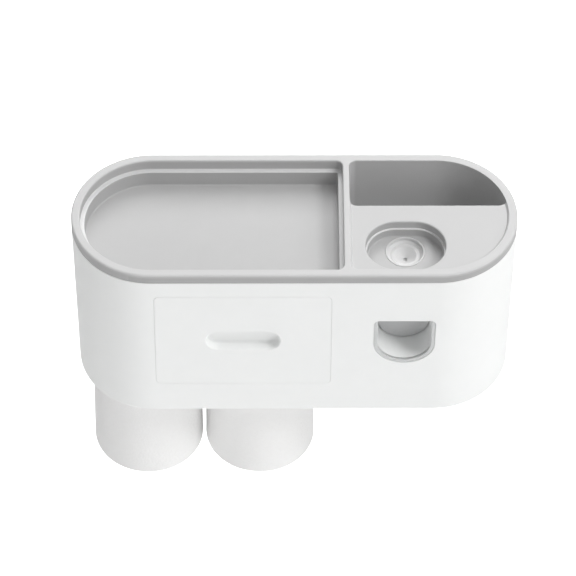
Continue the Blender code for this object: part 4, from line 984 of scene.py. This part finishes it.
# Bezel: a thin U-shaped ring of milky, see-through plastic, open at its top like the mouth it frames.
# It is moulded flat and pressed into the housing's opening, in front of the squeezer's spigot.
BEZEL_EDGE = 0.0006
MOUTH_RAISED = 0.0040
milky = Finish("milky_plastic", (0.64, 0.65, 0.65), 0.30)
milky.set(**{"Transmission Weight": 0.10, "IOR": 1.49, "Specular IOR Level": 0.3})
haze = milky.noise(scale=700.0, detail=2.0)
milky.set(Roughness=haze * 0.10 + 0.30)
milky.bump(haze, depth=0.00001, strength=0.3)
bezel_front = FRONT_Y + BEZEL_INSET
bezel = lean(loft("bezel", [
    (bezel_outline(inset), bezel_front + depth)
    for inset, depth in rounded_path([(CAP_INSET, 0, 0), (0, 0, BEZEL_EDGE), (0, BEZEL_T, 0)], EDGE_STEPS)
], "Y"))
cut(bezel, lean(hollow(
    "bezel_mouth", lambda inset: tunnel_ring(inset, MOUTH_RAISED),
    [(OUTSIDE, 0, 0), (0, 0, BEZEL_EDGE), (0, BEZEL_T + PAST, 0)], lambda depth: bezel_front + depth, "Y", EDGE_STEPS,
)))
smooth(bezel, milky)
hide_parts("dispenser_bezel")
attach(bezel, "housing")


# Push block: the U-shaped plunger of pale grey plastic that a toothbrush pushes in, moulded in one piece.
# The slanted slots in its two cheeks lift the pump's pin, and the return spring sits round the stud on its back.
pale_grey = Finish("pale_grey_plastic", (0.52, 0.525, 0.53), 0.30)
flow = pale_grey.noise(scale=500.0, detail=2.0)
pale_grey.set(**{
    "Base Color": pale_grey.blend(flow, (0.50, 0.505, 0.51), (0.54, 0.545, 0.55)),
    "Roughness": flow * 0.14 + 0.24,
})
pale_grey.bump(flow, depth=0.00001, strength=0.3)
PUSH_LOW, PUSH_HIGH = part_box("push_block")
PUSH_CLEAR = 0.00035
PUSH_WALL = 0.0016
PUSH_FACE_T = 0.0024
PUSH_EDGE = 0.0010
PUSH_EDGE_STEPS = 5
PUSH_CAP = 0.0030
PUSH_TRAVEL = 0.0080
ROOF_SLOT_CORNER = 0.0005
CHEEK_GAP = 0.0080
CHEEK_T = 0.0025
CHEEK_FOOT = 0.0640
CHEEK_CORNER = 0.0003
PIN_R = 0.0015
PIN_DEPTH = 0.0580
CAM_RISE = 0.0060
TRACK_STEPS = 16
SPRING_DEPTH = 0.0740
STUD_R = 0.0034
STUD_L = 0.0060
push_front = PUSH_LOW.y
push_back = PUSH_HIGH.y
inner_face = push_front + PUSH_FACE_T
push_path = [(PUSH_CAP, 0, 0), (0, 0, PUSH_EDGE), (0, push_back - push_front, 0)]
push = loft("plunger", [
    (tunnel_ring(inset + PUSH_CLEAR), push_front + depth) for inset, depth in rounded_path(push_path, PUSH_EDGE_STEPS)
], "Y")
push_room = slab("push_room", tunnel_ring(PUSH_CLEAR + PUSH_WALL), inner_face, push_back + PAST)
gap_half = CHEEK_GAP / 2
slot_ends = (SQUEEZER_X - gap_half, SQUEEZER_X + gap_half)
roof_outline = box_outline(*slot_ends, inner_face, push_back + PAST, ROOF_SLOT_CORNER)
cut(push, push_room, loft("roof_slot", [(roof_outline, roof_z - 2 * PAST), (roof_outline, roof_z + PAST)]))
cheek_top = roof_z - PUSH_CLEAR - PUSH_WALL + GAP
cheeks = []
for side in (-1, 1):
    ends = sorted((SQUEEZER_X + side * gap_half, SQUEEZER_X + side * (gap_half + CHEEK_T)))
    cheek_outline = box_outline(*ends, rim_z(CHEEK_FOOT), cheek_top, CHEEK_CORNER)
    cheeks.append(slab(f"cheek_{side}", cheek_outline, inner_face - ROOT, push_back))
add(push, *cheeks)
pin_z = rim_z(PIN_DEPTH)
slope = Vector((-PUSH_TRAVEL, CAM_RISE)).normalized()
across = Vector((-slope.y, slope.x))
track = []
for centre, start in ((Vector((pump_y, pin_z)), 90), (Vector((pump_y - PUSH_TRAVEL, pin_z + CAM_RISE)), -90)):
    for i in range(TRACK_STEPS + 1):
        a = radians(start + 180 * i / TRACK_STEPS)
        track.append(tuple(centre + (slope * cos(a) + across * sin(a)) * (PIN_R + GAP)))
reach_x = gap_half + CHEEK_T + PAST
cut(push, loft("cam_slot", [(track, SQUEEZER_X - reach_x), (track, SQUEEZER_X + reach_x)], "X"))
spring_z = rim_z(SPRING_DEPTH)
stud_ends = [(SQUEEZER_X, y, spring_z) for y in (inner_face - ROOT, inner_face + STUD_L)]
add(push, rod("stud", STUD_R, *stud_ends, BOSS_SIDES))
smooth(push, pale_grey)
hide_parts("push_block")
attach(push, "pusher")


# Drawer front: a flush white panel, 2.5 mm thick, with a scooped finger pull moulded in.
# Its pegs plug into the bin behind it, which is a plain open box that slides on the housing's runners.
PANEL_EDGE = 0.00015
PULL_L = 0.0488
PULL_H = 0.0179
PULL_BELOW_TOP = 0.0452
PULL_DEPTH = 0.0065
PULL_WALL = 0.0015
PULL_LIP = 0.0012
PULL_LEAN = 0.0008
PULL_SCOOP = 0.0018
PULL_CAP = 0.0086
PULL_FOOT_CAP = 0.0085
SCOOP_STEPS = 8
pull_z = DRAWER_HIGH.z - PULL_BELOW_TOP
pull_foot = PULL_DEPTH + PULL_WALL


def pull_ring(inset):
    half_l = PULL_L / 2
    half_h = PULL_H / 2
    radii = [half_h] * 4
    return oval(DRAWER_X - half_l, DRAWER_X + half_l, pull_z - half_h, pull_z + half_h, radii, inset, CORNER_STEPS)


panel = loft("drawer_panel", [
    (drawer_outline(inset), behind_front(depth))
    for inset, depth in rounded_path([(CAP_INSET, 0, 0), (0, 0, PANEL_EDGE), (0, SHELL, 0)], EDGE_STEPS)
], "Y")
pull_path = [(0, ROOT, 0), (0, pull_foot, PULL_SCOOP), (PULL_FOOT_CAP, pull_foot, 0)]
pull_shell = loft("pull_shell", [
    (pull_ring(inset - PULL_WALL), behind_front(depth)) for inset, depth in rounded_path(pull_path, ARC_STEPS)
], "Y")
scoop = hollow("scoop", pull_ring, [
    (OUTSIDE, 0, 0), (0, 0, PULL_LIP), (PULL_LEAN, PULL_DEPTH, PULL_SCOOP), (PULL_CAP, PULL_DEPTH, 0),
], behind_front, "Y", SCOOP_STEPS)
add(lean(panel), lean(pull_shell))
cut(panel, lean(scoop))
PEG_R = 0.0020
PEG_SIDES = 32
PEG_IN = 0.0138
PEG_UP = 0.0140
BIN_WALL = 0.0020
bin_inside = BIN_LOW.y + BIN_WALL
peg_places = [
    (x, z) for x in (BIN_LOW.x + PEG_IN, BIN_HIGH.x - PEG_IN) for z in (BIN_LOW.z + PEG_UP, BIN_HIGH.z - PEG_UP)
]
add(panel, *[
    rod("peg", PEG_R, (x, FRONT_Y + SHELL - GAP, z), (x, bin_inside, z), PEG_SIDES) for x, z in peg_places
])
smooth(panel, white_abs)
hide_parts("drawer_front")
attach(panel, "drawer")

STOP_TRAVEL = 0.0700
STOP_L = 0.0060
STOP_H = 0.0200
STOP_CORNER = 0.0006
BIN_SIDE_CLEAR = 0.0006
BIN_CORNER = 0.0030
BIN_INNER_CORNER = 0.0025
BIN_EDGE = 0.0005
BIN_FILLET = 0.0015
BIN_CAP = 0.0040
bin_half = DRAWER_W / 2 - BIN_SIDE_CLEAR
bin_outline = box_outline(DRAWER_X - bin_half, DRAWER_X + bin_half, BIN_LOW.y, BIN_HIGH.y, BIN_CORNER)
bin_box = loft("drawer_bin", [(bin_outline, BIN_LOW.z), (bin_outline, BIN_HIGH.z)])
stops = []
stop_y = FRONT_Y + SHELL + DRAFT + STOP_TRAVEL
for side in (-1, 1):
    ends = sorted((DRAWER_X + side * (bin_half - ROOT), DRAWER_X + side * (guide_face - GAP)))
    outline = box_outline(*ends, stop_y, stop_y + STOP_L, STOP_CORNER)
    stops.append(loft("drawer_stop", [(outline, BIN_LOW.z), (outline, BIN_LOW.z + STOP_H)]))
add(bin_box, *stops)


def bin_ring(inset):
    half = bin_half - BIN_WALL
    return box_outline(DRAWER_X - half, DRAWER_X + half, bin_inside, BIN_HIGH.y - BIN_WALL, BIN_INNER_CORNER, inset)


bin_depth = BIN_HIGH.z - BIN_LOW.z - BIN_WALL
bin_hollow = hollow("bin_hollow", bin_ring, [
    (OUTSIDE, 0, 0), (0, 0, BIN_EDGE), (0, bin_depth, BIN_FILLET), (BIN_CAP, bin_depth, 0),
], lambda depth: BIN_HIGH.z - depth)
pull_hole = slab("pull_hole", pull_ring(-PULL_WALL - 2 * GAP), BIN_LOW.y - PAST, bin_inside + PAST)
peg_holes = [
    rod("peg_hole", PEG_R + GAP, (x, BIN_LOW.y - PAST, z), (x, bin_inside + PAST, z), PEG_SIDES) for x, z in peg_places
]
cut(bin_box, bin_hollow, pull_hole, *peg_holes)
smooth(bin_box, white_abs)
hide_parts("drawer_box")
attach(bin_box, "drawer")


# Tumblers: two alike, moulded in white plastic with a fine pebbled face, hung mouth down from magnets.
# One tree turns the section about each tumbler's axis; a steel disc sits in the base of each.
pebbled = Finish("pebbled_white", (0.86, 0.86, 0.855), 0.58)
pebbles = pebbled.add("ShaderNodeTexVoronoi", {"feature": "SMOOTH_F1"}, {"Vector": pebbled.place, "Scale": 650.0})
mottle = pebbled.noise(scale=420.0, detail=4.0, rough=0.65)
pebbled.set(**{
    "Base Color": pebbled.blend(mottle, (0.845, 0.84, 0.835), (0.885, 0.885, 0.88)),
    "Roughness": mottle * 0.2 + 0.52,
    "Specular IOR Level": 0.25,
})
pebbled.bump(pebbles * 0.6 + mottle * 0.8, depth=0.00035, strength=0.8)

TUMBLER_WALL = 0.0018
BASE_T = 0.0034
MOUTH_R = 0.0373
LIP_ROUND = TUMBLER_WALL * 0.49
TUMBLER_EDGE = 0.0030
TUMBLER_EDGE_STEPS = 8
RECESS_EDGE = 0.0002
TUMBLER_STEPS = 160
SWEEP_R = 1.0
CUP_LOW, CUP_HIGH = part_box("tumbler_left")
PLATE_LOW, PLATE_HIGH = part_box("tumbler_plate_left")
recess_r = (PLATE_HIGH.x - PLATE_LOW.x) / 2 + GAP
recess_z = PLATE_LOW.z - GAP / 2


def turning_tree(name, material):
    """Node tree that turns the section it is given about the upright axis, and its inputs' identifiers."""
    tree = bpy.data.node_groups.new(name, "GeometryNodeTree")
    tree.interface.new_socket("Geometry", in_out="INPUT", socket_type="NodeSocketGeometry")
    inputs = {
        label: tree.interface.new_socket(label, in_out="INPUT", socket_type=kind).identifier
        for label, kind in (("Steps", "NodeSocketInt"), ("Axis X", "NodeSocketFloat"), ("Axis Y", "NodeSocketFloat"))
    }
    tree.interface.new_socket("Geometry", in_out="OUTPUT", socket_type="NodeSocketGeometry")
    nodes = Nodes(tree)
    given = nodes.add("NodeGroupInput", {}, {})
    section = nodes.add("GeometryNodeMeshToCurve", {}, {"Mesh": given["Geometry"]})
    turn = nodes.add("GeometryNodeCurvePrimitiveCircle", {}, {"Resolution": given["Steps"], "Radius": SWEEP_R})
    swept = nodes.add("GeometryNodeCurveToMesh", {}, {"Curve": turn, "Profile Curve": section})
    shift = nodes.add("ShaderNodeCombineXYZ", {}, {"X": given["Axis X"], "Y": given["Axis Y"]})
    placed = nodes.add("GeometryNodeSetPosition", {}, {"Geometry": swept, "Offset": shift})
    real = nodes.add("GeometryNodeRealizeInstances", {}, {"Geometry": placed})
    painted = nodes.add("GeometryNodeSetMaterial", {}, {"Geometry": real, "Material": material})
    nodes.add("NodeGroupOutput", {}, {"Geometry": painted})
    return tree, inputs


def meshed(holder, name):
    """Piece from the mesh that an object's curve or node tree makes, with its seams welded; the object goes."""
    bpy.context.scene.collection.objects.link(holder)
    bpy.context.view_layer.update()
    made = bpy.data.meshes.new_from_object(holder.evaluated_get(bpy.context.evaluated_depsgraph_get()))
    bpy.data.objects.remove(holder)
    shape = bmesh.new()
    shape.from_mesh(made)
    return closed(shape, name, SEAM)


cup_section = rounded_path([
    (0, recess_z, 0), (recess_r, recess_z, 0), (recess_r, CUP_HIGH.z, RECESS_EDGE),
    (TUMBLER_BASE_R, CUP_HIGH.z, TUMBLER_EDGE), (MOUTH_R, CUP_LOW.z, LIP_ROUND),
    (MOUTH_R - TUMBLER_WALL, CUP_LOW.z, LIP_ROUND),
    (TUMBLER_BASE_R - TUMBLER_WALL, CUP_HIGH.z - BASE_T, TUMBLER_EDGE), (0, CUP_HIGH.z - BASE_T, 0),
], TUMBLER_EDGE_STEPS)
turning, turning_inputs = turning_tree("turned_tumbler", pebbled.material)
for side, x in TUMBLER_XS.items():
    section = bpy.data.meshes.new("tumbler_section")
    section.from_pydata(
        [(r - SWEEP_R, -z, 0) for r, z in cup_section], [(i, i + 1) for i in range(len(cup_section) - 1)], [],
    )
    holder = bpy.data.objects.new("tumbler_section", section)
    modifier = holder.modifiers.new("turning", "NODES")
    modifier.node_group = turning
    for name, value in {"Steps": TUMBLER_STEPS, "Axis X": x, "Axis Y": MIDDLE_Y}.items():
        modifier[turning_inputs[name]] = value
    cup = meshed(holder, f"hung_tumbler_{side}")
    smooth(cup, pebbled, TURNED_SHARP)
    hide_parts(f"tumbler_{side}")
    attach(cup, f"tumbler_{side}")


# Small and inner parts that keep their CAD shapes: steel discs and screws, plated magnets, the foam pad,
# silicone seals, and white plastic fittings. Each has the finish of its own stock.
steel = Finish("bright_steel", (0.62, 0.62, 0.63), 0.28, 1.0)
brushed = steel.noise(scale=500.0, detail=3.0, rough=0.6)
steel.set(Roughness=brushed * 0.2 + 0.2)
steel.bump(brushed, depth=0.00001, strength=0.3)
plating = Finish("nickel_plating", (0.60, 0.58, 0.55), 0.18, 1.0)
spots = plating.noise(scale=300.0, detail=2.0)
plating.set(Roughness=spots * 0.15 + 0.12)
foam = Finish("tape_foam", (0.78, 0.78, 0.77), 0.9)
cells = foam.add("ShaderNodeTexVoronoi", {}, {"Vector": foam.place, "Scale": 2500.0})
foam.bump(cells, depth=0.0001, strength=0.8)
foam.set(Roughness=cells * 0.1 + 0.85)
kept = {
    steel: ["tumbler_plate_left", "tumbler_plate_right", "mounting_screw_1", "mounting_screw_2", "cover_screw_1",
            "cover_screw_2"],
    plating: ["magnet_left", "magnet_right"],
    foam: ["adhesive_pad"],
    silicone: ["inlet_valve", "outlet_nozzle", "duct_plug", "piston_seal"],
    white_abs: ["wall_bracket", "magnet_cap_left", "magnet_cap_right", "squeezer_rear_cover", "pump_piston"],
}
for finish, names in kept.items():
    for name in names:
        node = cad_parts[name]
        node.data.materials.clear()
        node.data.materials.append(finish.material)


# Return spring: one steel wire coiled round the studs of the rear cover and the push block, its end curls closed.
# Its back end rests on the cover.
SPRING_LOW, SPRING_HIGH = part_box("return_spring")
SPRING_WIRE_R = 0.0004
SPRING_CURLS = 7
SPRING_SHARP = 50.0
CURL_STEPS = 32
WIRE_STEPS = 2
END_CLOSING = 0.35
spring_l = SPRING_HIGH.y - SPRING_LOW.y
spring_r = (SPRING_HIGH.x - SPRING_LOW.x) / 2 - SPRING_WIRE_R
coil = bpy.data.curves.new("coil", "CURVE")
coil.dimensions = "3D"
coil.bevel_depth = SPRING_WIRE_R
coil.bevel_resolution = WIRE_STEPS
coil.use_fill_caps = True
wire = coil.splines.new("POLY")
wire.points.add(SPRING_CURLS * CURL_STEPS)
for i, point in enumerate(wire.points):
    share = i / (SPRING_CURLS * CURL_STEPS)
    wound = share - sin(2 * pi * share) / (2 * pi) * END_CLOSING
    y = SPRING_HIGH.y - SPRING_WIRE_R - (spring_l - 2 * SPRING_WIRE_R) * wound
    a = 2 * pi * SPRING_CURLS * share
    point.co = (SQUEEZER_X + spring_r * cos(a), y, spring_z + spring_r * sin(a), 1)
spring = meshed(bpy.data.objects.new("coil", coil), "coiled_spring")
smooth(spring, steel, SPRING_SHARP)
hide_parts("return_spring")
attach(spring, "housing")
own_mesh(spring)
